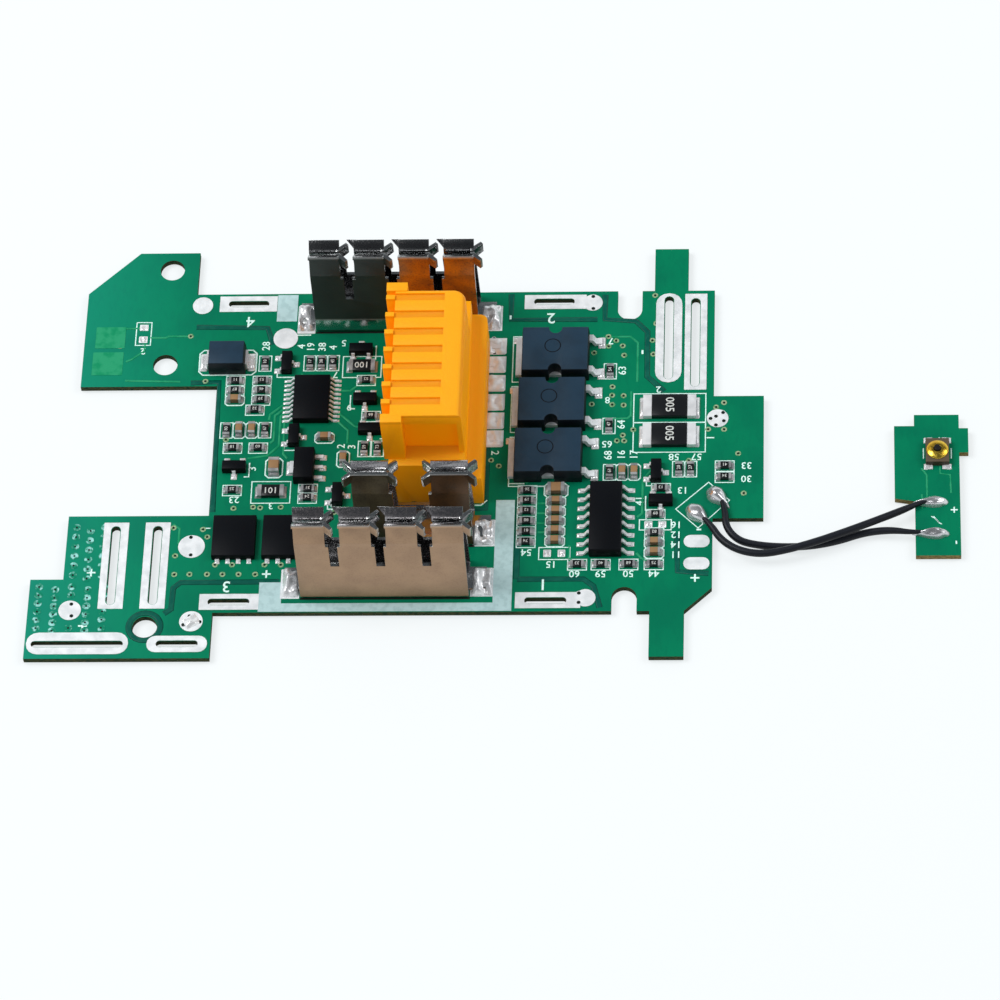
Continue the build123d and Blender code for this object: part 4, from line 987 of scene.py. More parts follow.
@dataclass
class MainBoard:
    """The main board's lacquer, bare pads, vias, tracks and printed legend."""

    finishes: Finishes
    ground: Ground = field(default_factory=lambda: Ground.of("main_board"))
    seat: float = -0.02
    pad_height: float = 0.05
    strip_height: float = 0.03
    patch_height: float = 0.035
    gap_width: float = 0.75
    gap_height: float = 0.006
    track_width: float = 0.3
    track_height: float = 0.03
    ink_width: float = 0.2
    ink_height: float = 0.02
    big_number: float = 1.55
    small_number: float = 0.95

    # x0, x1, y0, y1 and corner radius of each bare pad
    pads: tuple[tuple[float, float, float, float, float], ...] = (
        (-23.3, -16.2, 20.45, 22.75, 0.05), (14.3, 21.9, 20.5, 22.6, 0.05),
        (-23.2, -16.1, -22.7, -20.5, 0.05), (14.35, 22.1, -22.65, -20.45, 0.05),
        (30.45, 33.65, 9.5, 22.7, 1.55), (34.0, 36.7, 8.4, 22.6, 0.05),
        (-35.3, -32.3, -22.5, -10.35, 0.05), (-30.3, -27.3, -22.5, -10.35, 0.05),
        (-43.45, -31.3, -28.8, -25.8, 1.4), (-29.1, -21.9, -28.55, -26.3, 1.05),
        (34.2, 37.3, -14.25, -12.5, 0.85), (34.2, 37.3, -17.35, -15.65, 0.8),
    )  # fmt: skip
    round_pads: tuple[tuple[float, float, float], ...] = (
        (22.68, 21.4, 1.2), (22.68, -21.25, 1.2), (-25.4, 21.4, 1.25), (-14.9, 16.4, 1.5),
        (-38.6, -22.7, 1.35), (-24.6, -13.8, 1.6), (-24.0, -24.3, 1.4), (38.1, 4.2, 1.3),
    )  # fmt: skip
    strips: tuple[tuple[float, float, float, float], ...] = (
        (-16.15, -13.65, 18.95, 22.9), (-16.15, -13.45, -23.0, -18.9),
        (-13.45, 11.7, -23.0, -21.85), (11.7, 13.95, -23.0, -7.4),
    )  # fmt: skip
    part_pads: tuple[tuple[float, float, float, float], ...] = (
        (-13.5, -11.3, 17.1, 21.2), (9.0, 11.65, 17.3, 21.0), (-13.6, -11.3, -21.2, -17.1),
        (9.0, 11.7, -21.0, -17.0), (-6.5, -4.7, -13.4, -9.2), (9.1, 11.7, -13.95, -10.2),
        (-33.0, -31.95, 17.7, 18.6), (-33.0, -31.95, 15.9, 16.85), (17.55, 18.45, -15.5, -14.5),
        (19.25, 20.15, -15.5, -14.5), (29.5, 30.45, -11.45, -10.55), (31.15, 32.1, -11.45, -10.55),
    )  # fmt: skip
    vias: tuple[Point, ...] = (
        (30.3, 22.42), (24.69, 16.33), (25.64, 15.71), (26.45, 14.94), (24.72, 14.89),
        (22.98, 13.94), (26.65, 13.53), (25.32, 8.91), (25.29, 7.66), (26.68, 7.59),
        (25.32, 6.3), (26.71, 6.21), (22.85, 6.38), (27.94, 2.63), (26.69, 1.83),
        (26.87, 1.03), (25.99, 1.04), (30.48, 18.22), (30.06, 15.72), (30.19, 13.67),
        (37.9, 5.83), (38.85, 6.48), (36.97, 2.62), (38.88, 2.6), (34.69, -1.88),
        (10.9, -1.67), (11.85, -2.5), (-19.88, -8.38), (-17.53, -8.21), (-16.66, -8.31),
        (-14.19, -8.23), (-7.72, -9.05), (-23.36, -11.36), (-22.8, -12.44), (-21.62, -16.38),
        (-19.59, -16.39), (-15.69, -16.41), (-13.74, -16.42), (-26.93, -11.12), (-26.49, -15.08),
        (-26.42, -17.72), (-24.6, -17.71), (-22.5, -17.72), (-20.65, -17.73), (-18.73, -17.74),
        (-16.73, -17.75), (-21.39, 1.55), (-35.33, 16.69), (-35.24, 15.41), (-37.76, 11.65),
        (-35.65, 11.63), (-24.41, 10.13), (-26.64, 16.84), (40.6, -0.9), (41.3, -6.6),
    )  # fmt: skip
    pad_vias: tuple[Point, ...] = (
        (22.7, 22.3), (22.75, 20.5), (21.9, -20.6), (21.9, -21.9), (37.9, 4.47), (38.75, 5.0),
        (38.85, 3.8), (37.9, 3.2), (37.25, 4.15), (10.7, 16.1), (10.8, 14.0), (-24.74, -12.5),
        (-24.61, -15.0), (-38.45, -21.85), (-38.32, -23.5), (-24.22, -23.6), (-22.95, -24.4),
        (-24.9, -24.8),
    )  # fmt: skip
    gaps: tuple[tuple[Point, ...], ...] = (
        ((12.65, 22.8), (12.7, 18.95), (23.3, 18.9)),
        ((24.2, 22.6), (24.2, 18.9), (28.0, 18.6), (29.45, 17.0), (29.5, 10.4), (31.6, 8.2)),
        ((-26.0, 18.2), (-17.2, 18.0), (-16.4, 15.5)), ((-26.2, 9.9), (-22.7, 10.0), (-22.4, -8.9)),
        ((-27.3, -23.2), (-26.5, -22.6), (-26.4, -19.6), (-25.6, -18.85), (-13.8, -18.8)),
        ((14.5, -18.6), (22.4, -18.6), (23.6, -19.6), (24.4, -22.6)), ((14.4, -7.4), (14.4, -18.6)),
        ((33.4, -12.2), (33.5, -17.6), (37.2, -17.9)), ((10.4, 12.6), (10.5, -8.6), (-0.8, -9.0)),
    )  # fmt: skip
    cleared: tuple[tuple[float, float, float], ...] = ((-29.5, -25.0, 1.9),)
    tracks: tuple[tuple[Point, ...], ...] = (
        ((-35.3, 18.07), (-33.6, 18.05), (-33.0, 18.1)),
        ((-31.6, 16.66), (-29.7, 16.64), (-29.36, 16.86), (-26.64, 16.84)),
        ((-34.4, 13.12), (-33.67, 13.48), (-32.24, 14.7), (-32.2, 15.8)),
        ((-27.5, 10.1), (-34.3, 10.3)), ((-8.4, 8.6), (-6.6, 8.6), (-5.9, 9.2)),
        ((-14.4, 6.8), (-16.2, 5.2), (-16.3, 4.4)),
        ((-14.4, 6.1), (-15.6, 5.0), (-15.6, 1.4), (-16.0, 1.0)),
        ((-14.4, 5.4), (-14.9, 4.9), (-14.9, 0.6), (-16.2, -0.8), (-18.6, -1.2)),
        ((-14.4, 4.7), (-14.3, -0.6), (-13.8, -1.2)), ((-8.0, 4.2), (-6.6, 2.8), (-6.6, 0.9)),
        ((-8.0, 5.5), (-5.8, 3.4), (-5.0, 3.2)), ((-12.6, 11.2), (-12.6, 10.6), (-11.2, 10.9)),
        ((15.4, -5.0), (13.9, -3.6), (13.9, -1.4)), ((20.6, -13.9), (20.6, -15.6), (21.2, -16.2)),
        ((28.6, -15.0), (29.2, -15.7), (29.9, -16.2)),
        ((24.0, 16.3), (27.4, 16.3), (28.3, 15.4), (28.3, 9.6)),
        ((24.4, 4.2), (27.2, 4.3), (27.6, 4.7), (27.6, 8.2)),
        ((-27.0, -10.6), (-26.2, -11.2), (-26.2, -13.4)),
        ((30.4, -3.0), (29.2, -4.6), (29.2, -9.4), (28.6, -9.9)), ((16.8, -12.0), (17.6, -12.0)),
        ((16.6, -7.9), (17.6, -7.9)), ((16.6, -9.3), (17.6, -9.3)), ((16.6, -10.7), (17.6, -10.7)),
    )  # fmt: skip

    # columns, rows, first x and y, pitches across and down, and every second column's drop
    hidden_vias: tuple[tuple[int, int, float, float, float, float, float], ...] = (
        (5, 6, -42.5, -19.4, 1.95, 1.15, 0.4),
        (3, 6, -38.6, -11.0, 1.7, 1.35, 0.5),
    )
    ear_pad: Point = (-38.6, -22.7)
    ear_pad_room: float = 1.9

    def shape_pads(self) -> None:
        """The bare pads, with the milled slots cut through them."""
        parts = []
        for x0, x1, y0, y1, radius in self.pads:
            low = self.ground.at(x0, y0, self.seat)
            high = self.ground.at(x1, y1, self.pad_height)
            parts.append(plate(low, high, radius * MM))
        for x0, x1, y0, y1 in self.part_pads:
            low = self.ground.at(x0, y0, self.seat)
            high = self.ground.at(x1, y1, self.pad_height * 0.8)
            parts.append(plate(low, high, 0.08 * MM))
        for x, y, radius in self.round_pads:
            deselect()
            middle = self.ground.at(x, y, self.pad_height / 2 + 0.003)
            depth = (self.pad_height + 0.006) * MM
            bpy.ops.mesh.primitive_cylinder_add(
                vertices=40, radius=radius * MM, depth=depth, location=middle
            )
            bpy.ops.object.transform_apply(location=True, rotation=True, scale=True)
            parts.append(bpy.context.object)
        pads = joined(parts)
        self.cut_slots(pads)
        dress(pads, "bare_pads", self.finishes.pad)

    def cut_slots(self, pads: bpy.types.Object) -> None:
        """Cuts the board's own milled slots out of the pads.

        Args:
            pads: the joined pads.
        """
        cutters = []
        horizontal = ((-19.7, 21.6, 5.0), (17.95, 21.6, 5.0), (-19.7, -21.6, 5.0), (17.95, -21.6, 5.0))
        feet = ((-37.4, -27.4, 11.0), (-25.5, -27.4, 5.0))
        upright = ((-33.85, -16.4, 11.0), (-28.8, -16.4, 11.0), (32.05, 16.1, 12.2), (35.3, 15.4, 13.0))
        for x, y, length in horizontal + feet:
            half = (length / 2, 0.46)
            cutters.append(self.slot_cutter(x, y, half))
        for x, y, length in upright:
            half = (0.6, length / 2 + 0.06)
            cutters.append(self.slot_cutter(x, y, half))
        carve(pads, joined(cutters))

    def slot_cutter(self, x: float, y: float, half: Point) -> bpy.types.Object:
        """A round-ended bar that fits one slot."""
        low = self.ground.at(x - half[0], y - half[1], -0.4)
        high = self.ground.at(x + half[0], y + half[1], 0.6)
        return plate(low, high, min(half) * 0.98 * MM)

    def shape_strips(self) -> None:
        """The broad pale strips beside the clips."""
        parts = []
        for x0, x1, y0, y1 in self.strips:
            low = self.ground.at(x0, y0, self.seat)
            parts.append(plate(low, self.ground.at(x1, y1, self.strip_height), 0))
        dress(joined(parts), "pale_strips", self.finishes.strip)

    def shape_patches(self) -> None:
        """The two square copper patches under the lacquer of the rear ear."""
        corners = ((-38.35, 15.13, -34.7, 18.28), (-38.5, 11.13, -34.75, 14.53))
        parts = []
        for x0, y0, x1, y1 in corners:
            low = self.ground.at(x0, y0, self.seat)
            parts.append(plate(low, self.ground.at(x1, y1, self.patch_height), 0.1 * MM))
        dress(joined(parts), "ear_patches", self.finishes.track)

    def shape_lines(self) -> None:
        """Tracks under the lacquer, and the bands between the copper areas."""
        gaps = Linework(self.ground, self.gap_width, self.gap_height)
        for points in self.gaps:
            gaps.line(points)
        for x, y, radius in self.cleared:
            turns = [math.tau * step / 24 for step in range(24)]
            gaps.line([(x + radius * math.cos(t), y + radius * math.sin(t)) for t in turns], True)
        dress(gaps.build(), "copper_gaps", self.finishes.bare_gap)
        tracks = Linework(self.ground, self.track_width, self.track_height)
        for points in self.tracks:
            tracks.line(points)
        dress(tracks.build(), "covered_tracks", self.finishes.track)

    def via(self, outer: float, inner: float, ring: bpy.types.Material) -> bpy.types.Object:
        """One via: a raised ring around a centre painted dark as the shade of its hole.

        Args:
            outer: the ring's radius, in millimetres.
            inner: the hole's radius, in millimetres.
            ring: the ring's material.

        Returns:
            The via, centred on the origin.
        """
        deselect()
        bpy.ops.mesh.primitive_circle_add(vertices=12, radius=outer * MM, fill_type="NGON")
        made = bpy.context.object
        made.data.materials.append(ring)
        made.data.materials.append(self.finishes.hole)
        bpy.ops.object.mode_set(mode="EDIT")
        bpy.ops.mesh.extrude_region_move(TRANSFORM_OT_translate={"value": (0, 0, 0.03 * MM)})
        bpy.ops.mesh.inset(thickness=(outer - inner) * MM)
        bpy.ops.object.mode_set(mode="OBJECT")
        middle = max(made.data.polygons, key=lambda face: (face.center.z, -face.center.xy.length))
        middle.material_index = 1
        return made

    def shape_vias(self) -> None:
        """Open vias, vias in the pads, and the lacquered vias of the front ear."""
        spots = [put(self.ground.at(x, y)) for x, y in self.vias]
        vias = scattered(self.via(0.36, 0.17, self.finishes.ring), spots)
        dress(vias, "vias", None)
        spots = [put(self.ground.at(x, y, self.pad_height)) for x, y in self.pad_vias]
        vias = scattered(self.via(0.3, 0.24, self.finishes.pad), spots)
        dress(vias, "pad_vias", None)
        spots = []
        for columns, rows, x, y, across, down, drop in self.hidden_vias:
            for column in range(columns):
                for row in range(rows):
                    spots.append((x + column * across, y - row * down - (column % 2) * drop))
        clear = [spot for spot in spots if math.dist(spot, self.ear_pad) > self.ear_pad_room]
        places = [put(self.ground.at(x, y)) for x, y in clear]
        # The lacquered vias' rings carry painted highlights.
        vias = scattered(self.via(0.48, 0.15, self.finishes.glint), places)
        dress(vias, "lacquered_vias", None)

    def shape_legend(self) -> None:
        """The printed outlines around the parts."""
        ink = Linework(self.ground, self.ink_width, self.ink_height)
        for bank in RESISTOR_BANKS:
            for low, high in chip_boxes(bank):
                ink.around(low, high, 0.32)
        for bank in CAPACITOR_BANKS:
            for low, high in chip_boxes(bank):
                ink.around(low, high, 0.34, 0.28)
        for low, high in chip_boxes("large_capacitor"):
            ink.around(low, high, 0.4, 0.4)
        for low, high in chip_boxes("large_resistor"):
            ink.around(low, high, 0.75)
        ink.box(-25.3, 11.05, -18.3, 14.7, 0.5)
        ink.box(27.95, -0.65, 36.65, 7.85)
        ink.line([(27.95, 3.65), (36.65, 3.65)])
        ink.box(17.0, -15.85, 20.7, -14.15)
        ink.box(28.9, -11.75, 32.7, -10.3)
        ink.box(-33.4, 15.55, -31.55, 18.95)
        ink.line([(-0.9, -7.4), (-0.9, -8.1), (9.9, -8.1), (10.6, -7.4)])
        for y in (13.1, 5.75, -1.65):
            ink.line([(15.0, y + 3.3), (13.1, y + 3.3), (13.1, y - 3.4), (15.0, y - 3.4)])
        ink.line([(20.4, -5.45), (13.1, -5.45), (13.1, -5.0)])
        ink.line([(33.2, -8.8), (37.1, -5.0), (39.6, -7.6), (35.9, -11.5)], True)
        ink.line([(-13.6, 16.9), (-11.8, 16.9)])
        for (low, high), side in zip(loose_parts("small_transistor_bodies"), (1, -1) * 5):
            self.corner_marks(ink, low, high, side)
        dress(ink.build(), "printed_outlines", self.finishes.ink)

    def corner_marks(self, ink: Linework, low: Vector, high: Vector, side: int) -> None:
        """Two bracket marks beside a small transistor.

        Args:
            ink: the linework that takes them.
            low: the body's lowest corner.
            high: the body's highest corner.
            side: 1 or -1, for the end that is marked.
        """
        x0, y0 = self.ground.place(low)
        x1, y1 = self.ground.place(high)
        if x1 - x0 > y1 - y0:
            edge = x1 + 0.35 if side > 0 else x0 - 0.35
            ink.line([(edge - side * 0.6, y0 - 0.5), (edge, y0 - 0.5), (edge, y1 + 0.2)])
        else:
            edge = y0 - 0.4
            ink.line([(x0 - 0.5, edge + 1.0), (x0 - 0.5, edge), (x1 + 0.3, edge)])

    def shape_numbers(self) -> None:
        """Plain part numbers and polarity signs beside the parts."""
        big = (
            ("4", -19.4, 19.0, 180), ("2", 17.6, 19.2, 180), ("3", -20.1, -19.4, 180),
            ("1", 17.6, -19.3, 180), ("-", 12.8, 19.3, -90), ("-", 28.7, 14.0, 90),
            ("+", -15.4, -17.6, 180), ("+", -36.3, -17.4, 90), ("+", -36.9, -24.75, 180),
            ("+", 35.6, -18.4, 180), ("-", 36.0, -11.9, 180),
        )  # fmt: skip
        small = (
            ("28", -17.2, 15.3, 90), ("4", -12.86, 15.2, 90), ("19", -11.7, 15.1, 90),
            ("38", -10.3, 15.1, 90), ("4", -8.95, 15.0, 90), ("5", -7.7, 15.7, 180),
            ("3", -17.9, -2.7, 90), ("23", -19.9, -7.1, 180), ("3", -15.4, -8.0, 180),
            ("2", -7.3, 0.5, 90), ("3", -6.0, 0.4, 90), ("7", 25.0, 15.7, 180),
            ("63", 26.5, 11.3, 90), ("8", 24.75, 7.0, 180), ("64", 26.5, 3.4, 90),
            ("65", 24.8, 0.6, 180), ("68", 25.0, -1.05, 90), ("16", 26.6, -1.0, 90),
            ("17", 28.1, -1.0, 90), ("2", 30.9, 8.5, 180), ("1", 37.3, 1.4, 90),
            ("33", 41.6, -2.6, 180), ("30", 41.6, -4.5, 180), ("2", 11.3, -0.6, -90),
            ("58", 32.9, -1.3, 180), ("57", 35.6, -1.3, 180), ("13", 34.0, -6.1, 180),
            ("16", 33.3, -11.0, 180), ("12", 33.3, -12.4, 180), ("14", 33.3, -13.8, 180),
            ("11", 33.3, -15.2, 180), ("54", 15.5, -14.8, 180), ("15", 18.5, -16.5, 180),
            ("60", 21.3, -17.85, 180), ("59", 24.4, -17.85, 180), ("50", 27.7, -17.85, 180),
            ("44", 30.7, -17.85, 180), ("2", -32.4, 14.7, 180), ("1", -22.9, -11.2, 90),
            ("41", 28.9, -7.6, 90), ("6", -7.9, -8.2, 180), ("7", -8.5, 11.0, 180),
            ("9", -6.6, 6.2, 180), ("1", -13.5, -10.0, 180),
        )  # fmt: skip
        parts = []
        for size, marks in ((self.big_number, big), (self.small_number, small)):
            for mark, x, y, turn in marks:
                parts.append(number(mark, self.ground.at(x, y), turn, size, self.ink_height))
        dress(joined(parts), "printed_numbers", self.finishes.ink)

    def build(self) -> None:
        """Builds all of it."""
        paint("main_board", self.finishes.lacquer)
        self.shape_pads()
        self.shape_strips()
        self.shape_patches()
        self.shape_lines()
        self.shape_vias()
        self.shape_legend()
        self.shape_numbers()


def chip_boxes(bank: str) -> list[tuple[Vector, Vector]]:
    """The boxes of whole chips, ends included.

    Args:
        bank: the start of the bank's node names.

    Returns:
        A box for each chip, in metres.
    """
    ends = loose_parts(f"{bank}_ends")
    boxes = []
    for low, high in loose_parts(f"{bank}_bodies"):
        middle = (low + high) / 2
        reach = (high - low).xy.length * 0.75
        for end_low, end_high in ends:
            if ((end_low + end_high) / 2 - middle).xy.length < reach:
                low = Vector(map(min, low, end_low))
                high = Vector(map(max, high, end_high))
        boxes.append((low, high))
    return boxes


@dataclass
class SwitchBoard:
    """The switch board's lacquer, pads and printed marks."""

    finishes: Finishes
    ground: Ground = field(default_factory=lambda: Ground.of("switch_board"))
    marks: tuple[tuple[Point, ...], ...] = (
        ((-0.95, 5.2), (-0.95, 3.7)),
        ((2.35, 5.2), (2.35, 3.7)),
        ((0.9, 6.75), (1.6, 6.1)),
        ((-0.15, -4.5), (0.45, -4.9), (0.75, -5.4)),
        ((0.15, -4.5), (0.75, -5.4), (1.1, -5.6)),
    )
    tracks: tuple[tuple[Point, ...], ...] = (
        ((-1.2, 2.3), (-0.6, 1.4), (-0.6, -2.0)),
        ((1.0, 2.6), (1.0, 1.6), (2.2, 1.4), (2.25, -1.2)),
        ((-1.2, -1.4), (-1.2, -3.4)),
    )

    def build(self) -> None:
        """Builds the surface details."""
        paint("switch_board", self.finishes.switch_lacquer)
        ink = Linework(self.ground, 0.15, 0.02)
        for points in self.marks:
            ink.line(points)
        dress(ink.build(), "switch_marks", self.finishes.ink)
        tracks = Linework(self.ground, 0.25, 0.03)
        for points in self.tracks:
            tracks.line(points)
        dress(tracks.build(), "switch_tracks", self.finishes.track)
        signs = [
            number("+", self.ground.at(2.5, -3.6), -90, 1.2, 0.02),
            number("-", self.ground.at(2.9, -8.2), -90, 1.2, 0.02),
        ]
        dress(joined(signs), "switch_signs", self.finishes.ink)
        spots = ((-0.45, 2.55), (1.9, 2.55), (-0.45, 6.3), (1.9, 6.3))
        places = [put(self.ground.at(x, y), 0, (0.95 * MM, 0.8 * MM, 1)) for x, y in spots]
        lumps = scattered(pillow(0.22 * MM, 4.0), places)
        dress(lumps, "switch_leg_solder", self.finishes.solder)


# Solder


@dataclass
class SolderWork:
    """Solder at every part: pins, chip ends, lugs, contacts and bare pads."""

    finishes: Finishes
    ground: Ground = field(default_factory=lambda: Ground.of("main_board"))

    def outward(self, box: tuple[Vector, Vector], bodies: list[tuple[Vector, Vector]]) -> Vector:
        """The way a pin points, away from the nearest body.

        Args:
            box: the pin's box.
            bodies: the bodies' boxes.

        Returns:
            A unit vector along X or Y.
        """
        middle = (box[0] + box[1]) / 2
        best = None
        for low, high in bodies:
            nearest = Vector((min(max(middle.x, low.x), high.x), min(max(middle.y, low.y), high.y), 0))
            away = Vector((middle.x, middle.y, 0)) - nearest
            if best is None or away.length < best.length:
                best = away
        if abs(best.x) > abs(best.y):
            return Vector((math.copysign(1, best.x), 0, 0))
        return Vector((0, math.copysign(1, best.y), 0))

    def fillets(
        self,
        name: str,
        pins: str,
        bodies: str,
        spread: float,
        reach: float,
        height: float,
        finish: bpy.types.Material | None = None,
    ) -> None:
        """Solder around the outer end of every pin of a node.

        Args:
            name: the new piece's name.
            pins: the node of the pins or ends.
            bodies: the node of the bodies that they belong to.
            spread: how much wider the solder is than the pin, in millimetres.
            reach: how far it runs out past the pin, in millimetres.
            height: its height, in millimetres.
            finish: its material, or None for bright solder.
        """
        cores = loose_parts(bodies)
        places = []
        for low, high in loose_parts(pins):
            away = self.outward((low, high), cores)
            size = high - low
            along = abs(size.dot(away))
            across = size.x + size.y - along
            overlap = min(along, 0.5 * MM)
            length = overlap + reach * MM
            tip = (low + high) / 2 + away * (along / 2 + reach * MM - length / 2)
            turn = math.degrees(math.atan2(away.y, away.x))
            spot = Vector((tip.x, tip.y, self.ground.top - 0.01 * MM))
            places.append(put(spot, turn, (length, across + spread * MM, 1)))
        made = scattered(pillow(height * MM, 2.0, 0.25), places)
        dress(made, name, finish or self.finishes.solder)

    def lumps(self, name: str, pads: Sequence[tuple[float, ...]], finish: bpy.types.Material) -> None:
        """Free solder lumps, each a little different.

        Args:
            name: the new piece's name.
            pads: x, y, length, width, height and turn of each.
            finish: their material.
        """
        parts = []
        for index, (x, y, length, width, height, turn) in enumerate(pads):
            place = put(self.ground.at(x, y, -0.01), turn, (length * MM, width * MM, 1))
            parts.append(scattered(pillow(height * MM, 1.7 * index + 0.4, 0.9), [place]))
        dress(joined(parts), name, finish)

    def build(self) -> None:
        """Builds all the solder on the main board."""
        for bank, height in (
            ("controller_resistor", 0.3),
            ("balance_resistor", 0.3),
            ("sense_resistor", 0.3),
            ("large_resistor", 0.35),
            ("controller_capacitor", 0.5),
            ("filter_capacitor", 0.5),
            ("large_capacitor", 0.6),
        ):
            names = (f"{bank}_solder", f"{bank}_ends", f"{bank}_bodies")
            self.fillets(*names, 0.1, 0.32, height, self.finishes.chip_end)
        fillets = [
            ("controller_pin_solder", "controller_chip_pins", "controller_chip_body", 0.1, 0.3, 0.12),
            ("balance_pin_solder", "balance_chip_pins", "balance_chip_body", 0.2, 0.35, 0.18),
            ("small_pin_solder", "small_transistor_pins", "small_transistor_bodies", 0.35, 0.35, 0.2),
            ("regulator_solder", "regulator_pins", "regulator_body", 0.3, 0.4, 0.3),
            ("diode_solder", "protection_diode_ends", "protection_diode_body", 0.5, 0.45, 0.5),
        ]
        for i in (1, 2, 3):
            power = f"power_transistor_{i}"
            fillets.append((f"power_pin_solder_{i}", f"{power}_frame", f"{power}_body", 0.75, 0.45, 0.42))
        for i in (1, 2):
            flat = f"flat_transistor_{i}"
            fillets.append((f"shunt_solder_{i}", f"shunt_{i}_ends", f"shunt_{i}_body", 0.0, 0.45, 0.5))
            fillets.append((f"flat_solder_{i}", f"{flat}_pins", f"{flat}_body", 0.1, 0.3, 0.2))
        for fillet in fillets:
            self.fillets(*fillet)
        contacts = [(11.15, y, 2.3, 2.45, 0.42, 0) for y in (15.0, 12.3, 9.55, 6.75, 4.05, 1.45)]
        self.lumps("contact_solder", contacts, self.finishes.pad)
        lugs = [
            (-12.4, 19.3, 2.1, 3.8, 1.15, 0),
            (10.3, 19.2, 2.5, 3.6, 1.15, 0),
            (-12.4, -19.1, 2.1, 3.9, 1.15, 0),
            (10.4, -19.0, 2.5, 3.8, 1.15, 0),
            (-5.5, -11.3, 1.9, 3.7, 1.1, 0),
            (10.4, -12.1, 2.5, 3.5, 1.1, 0),
        ]
        self.lumps("lug_solder", lugs, self.finishes.solder)
        pads = [
            (18.0, -15.0, 0.85, 0.95, 0.16, 0),
            (19.7, -15.0, 0.85, 0.95, 0.16, 0),
            (30.0, -11.0, 0.9, 0.85, 0.16, 0),
            (31.6, -11.0, 0.9, 0.85, 0.16, 0),
            (-32.46, 18.13, 0.95, 0.85, 0.14, 0),
            (-32.46, 16.4, 0.95, 0.85, 0.14, 0),
            (-24.0, -24.3, 1.9, 1.7, 0.35, 30),
        ]
        self.lumps("pad_solder", pads, self.finishes.solder)


# Parts


@dataclass
class BladeClips:
    """The three folded spring clips, with rounded sheet edges."""

    finishes: Finishes
    ground: Ground = field(default_factory=lambda: Ground.of("main_board"))
    rounding: float = 0.09
    lug: float = 1.9

    def build(self) -> None:
        """Builds the clips, with a dark line of painted shadow along each front wall's foot."""
        # Painted shadow: a dark line along the foot of each front wall.
        foot_shadow = Linework(self.ground, 0.3, 0.05)
        for node, finish in self.finishes.sheets.items():
            dress(softened([node], self.rounding), f"{node}_sheet", finish)
            low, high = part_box(node)
            left, front = self.ground.place(low)
            right, _ = self.ground.place(high)
            foot_shadow.line([(left + self.lug, front), (right - self.lug, front)])
        dress(foot_shadow.build(), "clip_foot_shadow", self.finishes.foot_shadow)


@dataclass
class SignalConnector:
    """The moulded housing, with rounded edges, and its contacts."""

    finishes: Finishes
    rounding: float = 0.16
    ledge_width: float = 1.0
    ledge_height: float = 5.4
    shoulder: float = 0.85
    base_height: float = 8.25
    tower_left: float = 1.1
    groove_length: float = 5.9
    groove_width: float = 1.05
    groove_depth: float = 0.3
    first_groove: float = 3.95
    groove_pitch: float = 2.5
    groove_count: int = 7
    spare: float = 0.2

    def shoulder_cut(self) -> bpy.types.Object:
        """A bar that takes the base's shoulder down to the ledge, beside the tower."""
        low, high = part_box("connector_housing")
        right = high.x - self.ledge_width * MM
        top = low.z + (self.base_height + self.spare) * MM
        start = Vector((right - self.shoulder * MM, low.y - MM, low.z + self.ledge_height * MM))
        stop = Vector((right + self.spare * MM, high.y + MM, top))
        return plate(start, stop, 0)

    def groove_cuts(self) -> list[bpy.types.Object]:
        """Bars that widen the grooves of the tower's top to the real ones' width."""
        low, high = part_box("connector_housing")
        half = self.groove_width / 2 * MM
        left = low.x + (self.tower_left - 0.05) * MM
        right = low.x + (self.tower_left + self.groove_length) * MM
        floor = high.z - self.groove_depth * MM
        top = high.z + self.spare * MM
        bars = []
        for i in range(self.groove_count):
            y = low.y + (self.first_groove + i * self.groove_pitch) * MM
            bars.append(plate(Vector((left, y - half, floor)), Vector((right, y + half, top)), 0))
        return bars

    def build(self) -> None:
        """Builds the connector."""
        cutter = joined([self.shoulder_cut(), *self.groove_cuts()])
        housing = softened(["connector_housing"], self.rounding, cutter)
        dress(housing, "housing_moulding", self.finishes.housing)
        paint("connector_contacts", self.finishes.pin)


